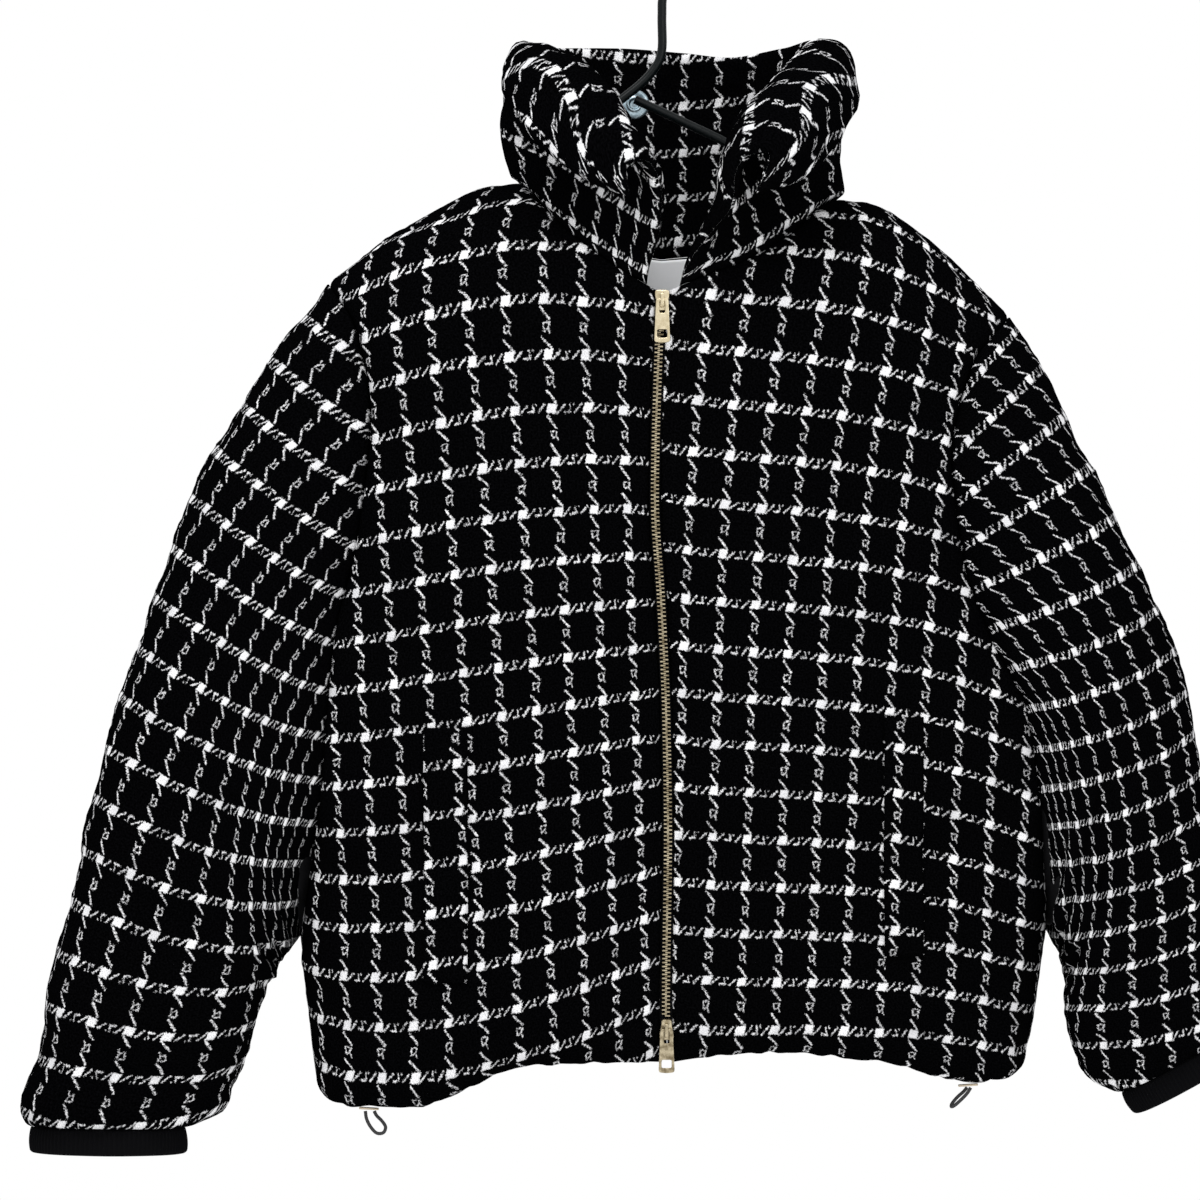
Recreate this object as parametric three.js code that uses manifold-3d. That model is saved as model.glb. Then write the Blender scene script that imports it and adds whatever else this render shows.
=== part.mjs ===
// A puffer jacket hanging on a black rod hanger. Millimetres, +Z up, the front faces -Y.
// The origin is the inside of the hook's crown, where a rail carries the hanger.
// Left and right are as seen by someone who faces the jacket; "out" is the distance outward from
// the middle (x = 0), so both halves share the same functions.
import * as THREE from "three";
import { mergeVertices } from "three/addons/utils/BufferGeometryUtils.js";
import Module from "manifold-3d";

const WALL = 10;            // padded tweed: shell, padding and lining together
const RIB_WALL = 4;         // double rib knit of the cuffs
const GAP = 0.3;            // between two pieces at a seam
const EDGE_POWER = 3.2;     // how square the torso's and sleeves' sections are
const PANEL_HEIGHT = 500;   // of a front or the back, roughly
const RIDGE_ROUND = 70;     // length over which the shoulders round over to the ridge
const HEM_TUCK = 9;         // how far the hem casing draws in
const NECK_RISE = 2.3;      // the collar's lower edge sits this far above the neckline
const ROD_RADIUS = 3;       // hanger rod

// Fractions across a panel, from the middle to its side: closer where the cloth turns.
const ACROSS = [0, 0.1, 0.2, 0.31, 0.42, 0.52, 0.63, 0.74, 0.83, 0.9, 0.95, 0.985, 1];
// Fractions up the side seam, and from the crotch of the armhole up to the shoulder point.
const UP_SEAM = [0, 0.12, 0.3, 0.55, 0.8];
const UP_ARMHOLE = [0, 0.012, 0.04, 0.09, 0.17, 0.27, 0.38, 0.5, 0.62, 0.73, 0.83, 0.91, 0.96, 0.988, 1];
const CROTCH_AT = 0.2;      // the share of a panel's height that lies below the crotch

// The middle of the front, where the zip lies: how far it wanders to the side at each height.
const ZIP_LINE = [
  { z: -774, x: 3.6 }, { z: -735, x: 2 }, { z: -622, x: 3.3 }, { z: -539, x: 2 },
  { z: -467, x: -1.3 }, { z: -401, x: -5.3 }, { z: -301, x: -2.7 }, { z: -264, x: 0 },
];
// Half depth of the torso at each share of its height: front, back, and at the armhole seam.
const DEPTH = [
  { at: 0, front: 58, back: 52 }, { at: 0.08, front: 62, back: 56 }, { at: 0.35, front: 66, back: 60 },
  { at: 0.7, front: 68, back: 62 }, { at: 0.88, front: 67, back: 58 }, { at: 1, front: 66, back: 52 },
];
// Height of the hem at each share of the way from the middle to the side seam.
const HEM = {
  left: [
    { at: 0, front: -771, back: -764 }, { at: 0.4, front: -774, back: -768 },
    { at: 0.8, front: -803, back: -794 }, { at: 1, front: -801, back: -801 },
  ],
  right: [
    { at: 0, front: -771, back: -764 }, { at: 0.22, front: -765, back: -764 },
    { at: 0.6, front: -771, back: -772 }, { at: 0.92, front: -787, back: -786 },
    { at: 1, front: -785, back: -785 },
  ],
};
// Neckline and shoulder ridge, from the middle outward. depth: how far the edge stands off the mid
// plane. turn: 0 where the cloth's edge faces up the front, 1 where it has turned over the shoulder.
const FRONT_TOP = {
  left: [
    { out: 0, z: -264, depth: 66, turn: 0 }, { out: 22, z: -251, depth: 62, turn: 0.1 },
    { out: 45, z: -235, depth: 52, turn: 0.3 }, { out: 70, z: -214, depth: 34, turn: 0.6 },
    { out: 93, z: -191, depth: 0, turn: 1 }, { out: 110, z: -192, depth: 0, turn: 1 },
    { out: 140, z: -202, depth: 0, turn: 1 }, { out: 180, z: -226, depth: 0, turn: 1 },
    { out: 221, z: -255, depth: 0, turn: 1 },
  ],
  right: [
    { out: 0, z: -264, depth: 66, turn: 0 }, { out: 24, z: -254, depth: 62, turn: 0.1 },
    { out: 52, z: -243, depth: 52, turn: 0.3 }, { out: 86, z: -222, depth: 34, turn: 0.6 },
    { out: 114, z: -202, depth: 0, turn: 1 }, { out: 130, z: -203, depth: 0, turn: 1 },
    { out: 162, z: -217, depth: 0, turn: 1 }, { out: 188, z: -236, depth: 0, turn: 1 },
    { out: 230, z: -277, depth: 0, turn: 1 },
  ],
};
const BACK_TOP = {
  left: [
    { out: 0, z: -238, depth: 52, turn: 0 }, { out: 45, z: -229, depth: 45, turn: 0.2 },
    { out: 74, z: -211, depth: 30, turn: 0.6 }, ...FRONT_TOP.left.slice(4),
  ],
  right: [
    { out: 0, z: -238, depth: 52, turn: 0 }, { out: 52, z: -231, depth: 45, turn: 0.2 },
    { out: 90, z: -216, depth: 30, turn: 0.6 }, ...FRONT_TOP.right.slice(4),
  ],
};
// Side seam from the hem up to the crotch.
const SIDE_SEAM = {
  left: [
    { at: 0, out: 222, z: -801 }, { at: 0.12, out: 229, z: -790 }, { at: 0.35, out: 233, z: -767 },
    { at: 0.7, out: 237, z: -725 }, { at: 1, out: 241, z: -691 },
  ],
  right: [
    { at: 0, out: 229, z: -785 }, { at: 0.12, out: 240, z: -775 }, { at: 0.35, out: 245, z: -754 },
    { at: 0.7, out: 250, z: -718 }, { at: 1, out: 256, z: -687 },
  ],
};
// How far the armhole seam bows in toward the chest, from the crotch up to the shoulder point.
const ARMHOLE_BOW = {
  left: [
    { up: 0, by: 0 }, { up: 0.2, by: 10 }, { up: 0.45, by: 15 }, { up: 0.6, by: 27 },
    { up: 0.78, by: 33 }, { up: 0.93, by: 20 }, { up: 1, by: 0 },
  ],
  right: [
    { up: 0, by: 0 }, { up: 0.2, by: 1 }, { up: 0.35, by: 6 }, { up: 0.48, by: 28 },
    { up: 0.6, by: 42 }, { up: 0.75, by: 46 }, { up: 0.92, by: 28 }, { up: 1, by: 0 },
  ],
};
// Sleeve sections from the armhole seam to the cuff: the outer and the inner edge of each ring,
// its half depth, and the share of the armhole's bow that is left in it.
const SLEEVE = {
  left: [
    { at: 0, outerOut: 221, outerZ: -255, innerOut: 241, innerZ: -691, depth: 54, bow: 1 },
    { at: 0.09, outerOut: 261, outerZ: -305, innerOut: 243, innerZ: -694, depth: 62, bow: 0.35 },
    { at: 0.2, outerOut: 301, outerZ: -371, innerOut: 246, innerZ: -698, depth: 66, bow: 0 },
    { at: 0.31, outerOut: 327, outerZ: -436, innerOut: 249, innerZ: -703, depth: 66, bow: 0 },
    { at: 0.42, outerOut: 351, outerZ: -501, innerOut: 252, innerZ: -708, depth: 65, bow: 0 },
    { at: 0.53, outerOut: 371, outerZ: -569, innerOut: 256, innerZ: -716, depth: 63, bow: 0 },
    { at: 0.65, outerOut: 387, outerZ: -633, innerOut: 260, innerZ: -728, depth: 60, bow: 0 },
    { at: 0.77, outerOut: 402, outerZ: -697, innerOut: 269, innerZ: -754, depth: 56, bow: 0 },
    { at: 0.89, outerOut: 419, outerZ: -769, innerOut: 281, innerZ: -791, depth: 50, bow: 0 },
    { at: 0.96, outerOut: 427, outerZ: -802, innerOut: 291, innerZ: -808, depth: 43, bow: 0 },
    { at: 1, outerOut: 424, outerZ: -817, innerOut: 314, innerZ: -818, depth: 34, bow: 0 },
  ],
  right: [
    { at: 0, outerOut: 230, outerZ: -277, innerOut: 256, innerZ: -687, depth: 54, bow: 1 },
    { at: 0.09, outerOut: 262, outerZ: -331, innerOut: 258, innerZ: -691, depth: 62, bow: 0.35 },
    { at: 0.2, outerOut: 286, outerZ: -384, innerOut: 260, innerZ: -696, depth: 66, bow: 0 },
    { at: 0.31, outerOut: 310, outerZ: -428, innerOut: 262, innerZ: -701, depth: 66, bow: 0 },
    { at: 0.42, outerOut: 332, outerZ: -474, innerOut: 263, innerZ: -708, depth: 65, bow: 0 },
    { at: 0.53, outerOut: 348, outerZ: -528, innerOut: 264, innerZ: -717, depth: 63, bow: 0 },
    { at: 0.65, outerOut: 364, outerZ: -594, innerOut: 265, innerZ: -732, depth: 60, bow: 0 },
    { at: 0.77, outerOut: 378, outerZ: -660, innerOut: 268, innerZ: -756, depth: 56, bow: 0 },
    { at: 0.89, outerOut: 391, outerZ: -712, innerOut: 275, innerZ: -779, depth: 50, bow: 0 },
    { at: 0.96, outerOut: 396, outerZ: -732, innerOut: 287, innerZ: -790, depth: 43, bow: 0 },
    { at: 1, outerOut: 392, outerZ: -746, innerOut: 304, innerZ: -796, depth: 34, bow: 0 },
  ],
};
const CUFF_SHOWS = 18;      // length of rib below the sleeve's end
const CUFF_TAPER = 0.94;    // its width against the sleeve end's

// The collar, section by section from the left front end round the back to the right front end.
// Each section starts on the neckline and climbs through low and fold to the collar's free edge.
// Toward the front the cloth rolls outward over the fold, and from there "over" and "edge" hang on
// the outside. All are in the middle of the cloth: [x, y, z]. neck counts the quarters of the
// neckline: front left from the zip outward, back left, back right, then front right to the zip.
const COLLAR = [
  { neck: 0.07, low: [0, -86, -203], fold: [-12, -104, -182],
    over: [-24, -111, -188], edge: [-22, -107, -206] },
  { neck: 0.17, low: [-10, -79, -193], fold: [-26, -94, -162],
    over: [-44, -103, -168], edge: [-46, -102, -197] },
  { neck: 0.29, low: [-22, -68, -184], fold: [-38, -78, -141],
    over: [-60, -90, -146], edge: [-68, -90, -182] },
  { neck: 0.43, low: [-36, -57, -172], fold: [-50, -62, -127],
    over: [-72, -72, -130], edge: [-84, -75, -166] },
  { neck: 0.6, low: [-50, -45, -164], fold: [-62, -45, -117],
    over: [-81, -53, -118], edge: [-93, -56, -150] },
  { neck: 0.79, low: [-75, -29, -156], fold: [-78, -25, -108],
    over: [-90, -30, -109], edge: [-99, -34, -138] },
  { neck: 0.975, low: [-102, -6, -152], fold: [-93, -4, -108], over: [-93, -4, -102], edge: [-98, -6, -115] },
  { neck: 1.07, low: [-99, 20, -160], fold: [-96, 24, -122], over: [-91, 26, -103], edge: [-89, 27, -97] },
  { neck: 1.26, low: [-84, 42, -178], fold: [-84, 48, -136], over: [-80, 50, -108], edge: [-77, 49, -95] },
  { neck: 1.55, low: [-52, 56, -190], fold: [-53, 62, -148], over: [-53, 63, -113], edge: [-52, 60, -94] },
  { neck: 1.81, low: [-22, 60, -195], fold: [-22, 66, -150], over: [-21, 67, -114], edge: [-21, 64, -94] },
  { neck: 2.1, low: [14, 60, -196], fold: [15, 66, -152], over: [16, 67, -116], edge: [16, 64, -97] },
  { neck: 2.36, low: [44, 57, -194], fold: [46, 63, -152], over: [48, 64, -118], edge: [48, 61, -100] },
  { neck: 2.625, low: [78, 48, -184], fold: [80, 53, -142], over: [82, 53, -111], edge: [82, 50, -95] },
  { neck: 2.87, low: [108, 24, -168], fold: [107, 27, -122], over: [104, 26, -97], edge: [107, 25, -93] },
  { neck: 3.01, low: [115, 0, -158], fold: [106, -4, -104], over: [116, -6, -103], edge: [123, -8, -136] },
  { neck: 3.15, low: [92, -24, -164], fold: [95, -27, -112], over: [112, -33, -114], edge: [120, -37, -150] },
  { neck: 3.31, low: [60, -43, -165], fold: [83, -48, -128], over: [106, -56, -131], edge: [112, -60, -168] },
  { neck: 3.48, low: [49, -60, -171], fold: [74, -68, -137], over: [99, -77, -142], edge: [99, -80, -184] },
  { neck: 3.62, low: [44, -76, -181], fold: [66, -84, -149], over: [92, -93, -156], edge: [87, -94, -194] },
  { neck: 3.76, low: [40, -87, -193], fold: [59, -95, -161], over: [83, -103, -165], edge: [77, -103, -199] },
  { neck: 3.88, low: [39, -94, -206], fold: [54, -102, -173],
    over: [73, -109, -171], edge: [67, -109, -202] },
  { neck: 3.94, low: [41, -98, -214], fold: [52, -106, -181],
    over: [68, -112, -178], edge: [60, -112, -204] },
];
const NECK_SIDE = { left: 0.42, right: 0.496 };     // how far across a panel the neckline reaches
const COLLAR_UP = [0, 0.2, 0.3, 0.4, 0.5, 0.6, 0.68, 0.76, 0.84, 0.92, 1];
const SEAM_STANDS = 10;     // the cloth stands straight up this far before it leans

const POCKETS = {
  left: { top: -551, bottom: -719, near: 128, far: 157, lift: 0.9 },
  right: { top: -544, bottom: -701, near: 145, far: 171, lift: 1.3 },
};
const POCKET_WALL = 3;      // lift: how far a strip stands off its front, which bulges between its rows

// The zip: its chain is sunk into the slot between the fronts, its tapes lie behind the chain.
const SLOT = 4.1;           // half the width between the two fronts' edges
const CHAIN = { width: 5.8, depth: 2.4, sunk: 1.6 };
const TAPE = { wall: 1, top: -266, bottom: -768 };
const SLIDER = { length: 13.5, wide: 9.4, narrow: 6.8, plate: 2, core: 6.6, coreDepth: 3.9 };
const SLIDER_TOPS = { top: -264, bottom: -742.5 };
const BRIDGE = { width: 2.2, wall: 1.4, inside: 3.2, length: 9.6 };
const PULL = { length: 29, topWidth: 8.2, lowWidth: 10.6, wall: 1.6, bar: 1.8, slot: [3.6, 7.6] };
const PULL_WINDOW = { width: 6.6, height: 5.4, up: 3.4 };

const LABEL = { left: -16, right: 19, low: 0.952, high: 0.998, wall: 1 };
const STUD = { along: 10.1, up: 0.7, radius: 10.4, wall: 2.4, lift: 1.1 };
const CORD_RADIUS = 1.15;
const EYELET = { length: 13, width: 7, wall: 1.2 };
const CORD_EXITS = { left: 0.895, right: 0.9 };
// Each drawcord loop from its exit: sideways, forward and down.
const LOOPS = {
  left: [
    [-2.4, 0, 0], [-1.6, -0.6, -5], [1.2, -1, -10.5], [5.4, -1, -14.6], [9.6, -0.8, -14.2],
    [11, -0.4, -10.6], [8.4, 0, -6.4], [5, 0.3, -3], [3.4, 0.4, 0],
  ],
  right: [
    [1.6, -1.6, 0], [-0.6, -2.4, -3.4], [-5, -2.8, -8], [-9.2, -1.6, -11.8], [-11, 0.4, -12.6],
    [-10.6, 2.2, -11], [-7, 2.6, -6.6], [-2.6, 2.2, -2.6], [-0.6, 1.8, 0],
  ],
};

// The hanger's rod runs down from the hook and bends off into the left arm. The other arm is welded
// behind the bend. x and z of each bend; the last stretch of an arm carries the shoulder.
const HOOK_RADIUS = 25;
const SHAFT = [{ x: 9, z: -51 }, { x: 1, z: -64 }, { x: 0, z: -78 }, { x: 0, z: -100 }];
const ARMS = {
  left: [
    { x: -2, z: -108 }, { x: -8, z: -117 }, { x: -15, z: -124 }, { x: -25, z: -132 },
    { x: -35, z: -140 }, { x: -64, z: -171 }, { x: -93, z: -213 }, { x: -118, z: -224 },
  ],
  right: [
    { x: -18, z: -133 }, { x: 14, z: -148 }, { x: 48, z: -165 }, { x: 84, z: -191 },
    { x: 114, z: -224 }, { x: 134, z: -230 },
  ],
};
const SHOULDER_SEATS = [158, 172, 186, 198];
const SEAT_GAP = 1.9;         // from the ridge's curve; its facets come nearer

// --- working out curves from the tables ---------------------------------------------------------

// Smooth value of one column of a table at a place along its key column.
function along(table, key, at, column) {
  const rising = table[table.length - 1][key] > table[0][key] ? 1 : -1;
  let i = 0;
  while (i < table.length - 2 && rising * at > rising * table[i + 1][key]) i += 1;
  const a = table[i];
  const b = table[i + 1];
  const span = b[key] - a[key];
  const t = THREE.MathUtils.clamp((at - a[key]) / span, 0, 1);
  const slope = (p, q) => (q[column] - p[column]) / (q[key] - p[key]);
  const own = slope(a, b);
  const before = i > 0 ? limited(slope(table[i - 1], a), own) : own;
  const after = i < table.length - 2 ? limited(own, slope(b, table[i + 2])) : own;
  const t2 = t * t;
  const t3 = t2 * t;
  return (2 * t3 - 3 * t2 + 1) * a[column] + (t3 - 2 * t2 + t) * span * before
    + (3 * t2 - 2 * t3) * b[column] + (t3 - t2) * span * after;
}

// The tangent between two slopes, flat where they change sign, so that a curve never overshoots.
function limited(p, q) {
  return p * q <= 0 ? 0 : (2 * p * q) / (p + q);
}

const mix = THREE.MathUtils.lerp;
const sideways = (half) => (half === "left" ? -1 : 1);

// How far a rounded edge has risen after a share of its turn.
function rounded(share) {
  const t = THREE.MathUtils.clamp(share, 0, 1);
  return Math.sqrt(1 - (1 - t) * (1 - t));
}

// Half depth of a squarish section at a share of the way from its middle to its edge.
function squarish(share) {
  return Math.pow(Math.max(0, 1 - Math.pow(Math.min(1, Math.abs(share)), EDGE_POWER)), 1 / EDGE_POWER);
}

const outward = (half, x) => sideways(half) * x;

// A point of the sleeve: ring "at" along the sleeve, "up" from its inner to its outer edge.
function sleevePoint(half, at, up, face, inset) {
  const table = SLEEVE[half];
  const get = (column) => along(table, "at", at, column);
  const outer = new THREE.Vector2(get("outerOut"), get("outerZ"));
  const inner = new THREE.Vector2(get("innerOut"), get("innerZ"));
  const chord = outer.clone().sub(inner).normalize();
  const leave = Math.min(1, at / 0.2);
  const outerIn = new THREE.Vector2(mix(0, -chord.x, leave), mix(-1.25, -chord.y, leave));
  const innerIn = new THREE.Vector2(mix(-1, chord.x, leave), mix(0.8, chord.y, leave));
  outer.addScaledVector(outerIn, inset);
  inner.addScaledVector(innerIn, inset);
  const full = squarish(2 * up - 1);
  const point = inner.clone().lerp(outer, up);
  point.x -= get("bow") * along(ARMHOLE_BOW[half], "up", up, "by");
  const depth = (get("depth") - inset) * full;
  return new THREE.Vector3(outward(half, point.x), face * depth, point.y);
}

// The edge of a torso panel away from the middle: side seam, then armhole seam.
function sidePoint(half, up, face, inset) {
  if (up > CROTCH_AT) {
    const point = sleevePoint(half, 0, (up - CROTCH_AT) / (1 - CROTCH_AT), face, inset);
    point.x -= sideways(half) * GAP / 2;
    return point;
  }
  const at = up / CROTCH_AT;
  const out = along(SIDE_SEAM[half], "at", at, "out") - inset;
  const z = along(SIDE_SEAM[half], "at", at, "z") + 0.8 * inset * at * at;
  return new THREE.Vector3(outward(half, out - GAP / 2), 0, z);
}

// A point of the torso: "across" from the middle to the side, "up" from the hem to the top.
function torsoPoint(half, face, across, up, inset) {
  const top = (face < 0 ? FRONT_TOP : BACK_TOP)[half];
  const edge = face < 0 ? "front" : "back";
  const side = sidePoint(half, up, face, inset);
  const corner = sidePoint(half, 1, face, inset);
  const hemSide = sidePoint(half, 0, face, inset);
  const reach = along(top, "out", across * top[top.length - 1].out, "z");
  const turn = along(top, "out", across * top[top.length - 1].out, "turn");
  const edgeDepth = along(top, "out", across * top[top.length - 1].out, "depth");
  const topDepth = Math.max(0, edgeDepth - inset * (1 - turn));
  const hemZ = along(HEM[half], "at", across, edge);
  const middleHem = along(HEM[half], "at", 0, edge);
  const middleZ = mix(middleHem, top[0].z, up);
  const middleX = sideways(half) * (face < 0 ? along(ZIP_LINE, "z", middleZ, "x") : 0);
  const middleGap = face < 0 ? SLOT : 0;
  const x = mix(middleX + middleGap, Math.abs(side.x), across);
  const hemExtra = hemZ - mix(middleHem, hemSide.z, across);
  const topExtra = reach - 1.25 * inset * turn - mix(top[0].z, corner.z, across);
  const z = mix(middleZ, side.z, across) + hemExtra * Math.pow(1 - up, 3) + topExtra * Math.pow(up, 3);
  const rise = rounded(((1 - up) * PANEL_HEIGHT) / RIDGE_ROUND);
  const tuck = HEM_TUCK * Math.pow(1 - Math.min(1, up / 0.06), 2) * Math.min(1, across / 0.3);
  const full = along(DEPTH, "at", up, edge) - tuck - inset;
  const middle = topDepth + (full - topDepth) * rise;
  const sideDepth = Math.abs(side.y);
  const depth = sideDepth + (middle - sideDepth) * squarish(across);
  return new THREE.Vector3(outward(half, x), face * Math.max(depth, GAP / 2), z);
}

// --- closed walls from two grids of points ------------------------------------------------------

// Joins an outer and an inner grid of the same size into one closed wall. A ring closes on itself.
function wallBetween(outer, inner, ring) {
  const rows = outer.length;
  const columns = outer[0].length;
  const positions = [];
  for (const grid of [outer, inner]) {
    for (const row of grid) {
      for (const point of row) positions.push(point.x, point.y, point.z);
    }
  }
  const at = (skin, r, c) => skin * rows * columns + r * columns + (c % columns);
  const index = [];
  const corner = (i) => new THREE.Vector3().fromArray(positions, 3 * i);
  const highest = (a, b) => Math.max(corner(a).z, corner(b).z);
  // Each quad is split along its shorter diagonal, or the one that reaches higher where they are
  // alike, so the faces on both sides of a seam agree.
  const quad = (a, b, c, d) => {
    const longer = corner(a).distanceTo(corner(c)) - corner(b).distanceTo(corner(d));
    const alike = Math.abs(longer) < 0.01;
    if (alike ? highest(a, c) > highest(b, d) : longer < 0) index.push(a, b, c, a, c, d);
    else index.push(a, b, d, b, c, d);
  };
  const spans = ring ? columns : columns - 1;
  for (let r = 0; r < rows - 1; r += 1) {
    for (let c = 0; c < spans; c += 1) {
      quad(at(0, r, c), at(0, r, c + 1), at(0, r + 1, c + 1), at(0, r + 1, c));
      quad(at(1, r, c), at(1, r + 1, c), at(1, r + 1, c + 1), at(1, r, c + 1));
    }
  }
  for (let c = 0; c < spans; c += 1) {
    quad(at(0, 0, c), at(1, 0, c), at(1, 0, c + 1), at(0, 0, c + 1));
    quad(at(0, rows - 1, c + 1), at(1, rows - 1, c + 1), at(1, rows - 1, c), at(0, rows - 1, c));
  }
  for (let r = 0; r < rows - 1 && !ring; r += 1) {
    quad(at(0, r + 1, 0), at(1, r + 1, 0), at(1, r, 0), at(0, r, 0));
    quad(at(0, r, spans), at(1, r, spans), at(1, r + 1, spans), at(0, r + 1, spans));
  }
  return closedBody(positions, index);
}

// A geometry whose faces point out, whichever way round its grid was walked.
function closedBody(positions, index) {
  const a = new THREE.Vector3();
  const b = new THREE.Vector3();
  const c = new THREE.Vector3();
  let volume = 0;
  for (let i = 0; i < index.length; i += 3) {
    a.fromArray(positions, 3 * index[i]);
    b.fromArray(positions, 3 * index[i + 1]);
    c.fromArray(positions, 3 * index[i + 2]);
    volume += a.dot(b.cross(c));
  }
  if (volume < 0) index.reverse();
  const geometry = new THREE.BufferGeometry();
  geometry.setAttribute("position", new THREE.Float32BufferAttribute(positions, 3));
  geometry.setIndex(index);
  geometry.computeVertexNormals();
  return geometry;
}

// Unit normals of a grid of points, from the differences to each point's neighbours.
function gridNormals(grid) {
  const last = grid.length - 1;
  return grid.map((row, r) => row.map((point, c) => {
    const up = grid[Math.min(last, r + 1)][c].clone().sub(grid[Math.max(0, r - 1)][c]);
    const over = row[Math.min(row.length - 1, c + 1)].clone().sub(row[Math.max(0, c - 1)]);
    return up.cross(over).normalize();
  }));
}

const moved = (grid, normals, distance) => grid.map((row, r) => row.map(
  (point, c) => point.clone().addScaledVector(normals[r][c], distance)));

// A solid tube along a curve, with flat ends.
function tube(curve, radius, steps, sides) {
  const section = new THREE.Shape();
  section.absarc(0, 0, radius, 0, 2 * Math.PI, false);
  return new THREE.ExtrudeGeometry(section, {
    steps, curveSegments: sides, bevelEnabled: false, extrudePath: curve,
  });
}

// --- the pieces ---------------------------------------------------------------------------------

const jacket = new THREE.Group();

const TWEED = { color: 0x0b0b0c, roughness: 0.95, metalness: 0 };
const RIB = { color: 0x0a0a0a, roughness: 0.98, metalness: 0 };
const BLACK_TAPE = { color: 0x0c0c0c, roughness: 0.9, metalness: 0 };
const BRASS = { color: 0x8f7a4a, roughness: 0.4, metalness: 1 };
const PALE_GOLD = { color: 0xd9c79a, roughness: 0.3, metalness: 1 };
const PALE_CLOTH = { color: 0xe8ebf0, roughness: 0.8, metalness: 0 };
const STEEL_BLUE = { color: 0x9aa9b5, roughness: 0.35, metalness: 1 };
const BLACK_PAINT = { color: 0x10181a, roughness: 0.35, metalness: 0.3 };
const BEIGE = { color: 0xb9a78a, roughness: 0.6, metalness: 0 };

function add(name, geometry, finish) {
  const mesh = new THREE.Mesh(geometry, new THREE.MeshStandardMaterial(finish));
  mesh.name = name;
  jacket.add(mesh);
  return mesh;
}

const PANEL_UP = [
  ...UP_SEAM.map((share) => share * CROTCH_AT),
  ...UP_ARMHOLE.map((share) => CROTCH_AT + share * (1 - CROTCH_AT)),
];

const frontGrid = (half, inset) => PANEL_UP.map((up) => ACROSS.map(
  (across) => torsoPoint(half, -1, across, up, inset)));

for (const half of ["left", "right"]) {
  add(`front_${half}`, wallBetween(frontGrid(half, 0), frontGrid(half, WALL), false), TWEED);
}

const backGrid = (inset) => PANEL_UP.map((up) => [
  ...ACROSS.slice(1).reverse().map((across) => torsoPoint("left", 1, across, up, inset)),
  ...ACROSS.map((across) => torsoPoint("right", 1, across, up, inset)),
]);

add("back", wallBetween(backGrid(0), backGrid(WALL), false), TWEED);

const SLEEVE_ALONG = [0, 0.045, 0.1, 0.17, 0.25, 0.34, 0.44, 0.54, 0.64, 0.74, 0.83, 0.9, 0.95, 0.98, 1];

function sleeveGrid(half, inset) {
  return SLEEVE_ALONG.map((at) => {
    const front = UP_ARMHOLE.map((up) => sleevePoint(half, at, up, -1, inset));
    const behind = UP_ARMHOLE.slice(1, -1).reverse().map((up) => sleevePoint(half, at, up, 1, inset));
    const clear = sideways(half) * (GAP / 2) * (1 - Math.min(1, at / 0.2));
    return [...front, ...behind].map((point) => point.setX(point.x + clear));
  });
}

for (const half of ["left", "right"]) {
  add(`sleeve_${half}`, wallBetween(sleeveGrid(half, 0), sleeveGrid(half, WALL), true), TWEED);
}

// The rib band hangs from the sleeve's end, square to the line across that end.
function cuffGrid(half, inset) {
  const end = SLEEVE[half][SLEEVE[half].length - 1];
  const outer = new THREE.Vector2(end.outerOut, end.outerZ);
  const inner = new THREE.Vector2(end.innerOut, end.innerZ);
  const chord = outer.clone().sub(inner);
  const down = new THREE.Vector2(chord.y, -chord.x).normalize();
  const middle = outer.clone().add(inner).multiplyScalar(0.5);
  return [GAP, CUFF_SHOWS / 2, CUFF_SHOWS].map((drop) => {
    const ring = [];
    for (let i = 0; i < 24; i += 1) {
      const angle = (2 * Math.PI * i) / 24;
      const reach = (chord.length() / 2) * CUFF_TAPER - inset;
      const place = middle.clone().addScaledVector(down, drop);
      place.addScaledVector(chord.clone().normalize(), reach * Math.cos(angle));
      const depth = (end.depth * CUFF_TAPER - inset) * Math.sin(angle);
      ring.push(new THREE.Vector3(outward(half, place.x), depth, place.y));
    }
    return ring;
  });
}

for (const half of ["left", "right"]) {
  add(`cuff_${half}`, wallBetween(cuffGrid(half, 0), cuffGrid(half, RIB_WALL), true), RIB);
}

// The collar's sections and its lengthwise lines are smooth curves through its table's points.
const CENTRE = WALL / 2;

// A point of the cloth's edge along the neckline, raised to where the collar starts.
function neckPoint(place, inset) {
  const quarter = Math.min(3, Math.floor(place));
  const half = quarter < 2 ? "left" : "right";
  const face = quarter === 1 || quarter === 2 ? 1 : -1;
  const outward = quarter % 2 === 0 ? place - quarter : quarter + 1 - place;
  const share = outward * NECK_SIDE[half];
  const next = ACROSS.findIndex((across) => across > share);
  const [near, far] = [ACROSS[next - 1], ACROSS[next]];
  const point = torsoPoint(half, face, near, 1, inset);
  point.lerp(torsoPoint(half, face, far, 1, inset), (share - near) / (far - near));
  return point.setZ(point.z + NECK_RISE);
}

// The place along the neckline for a count of the table's sections.
function neckPlace(rows) {
  const before = Math.min(COLLAR.length - 2, Math.floor(rows));
  return mix(COLLAR[before].neck, COLLAR[before + 1].neck, rows - before);
}

const collarLine = (column) => new THREE.CatmullRomCurve3(
  COLLAR.map((row) => new THREE.Vector3(...row[column])));
const collarLines = ["low", "fold", "over", "edge"].map(collarLine);

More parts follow.
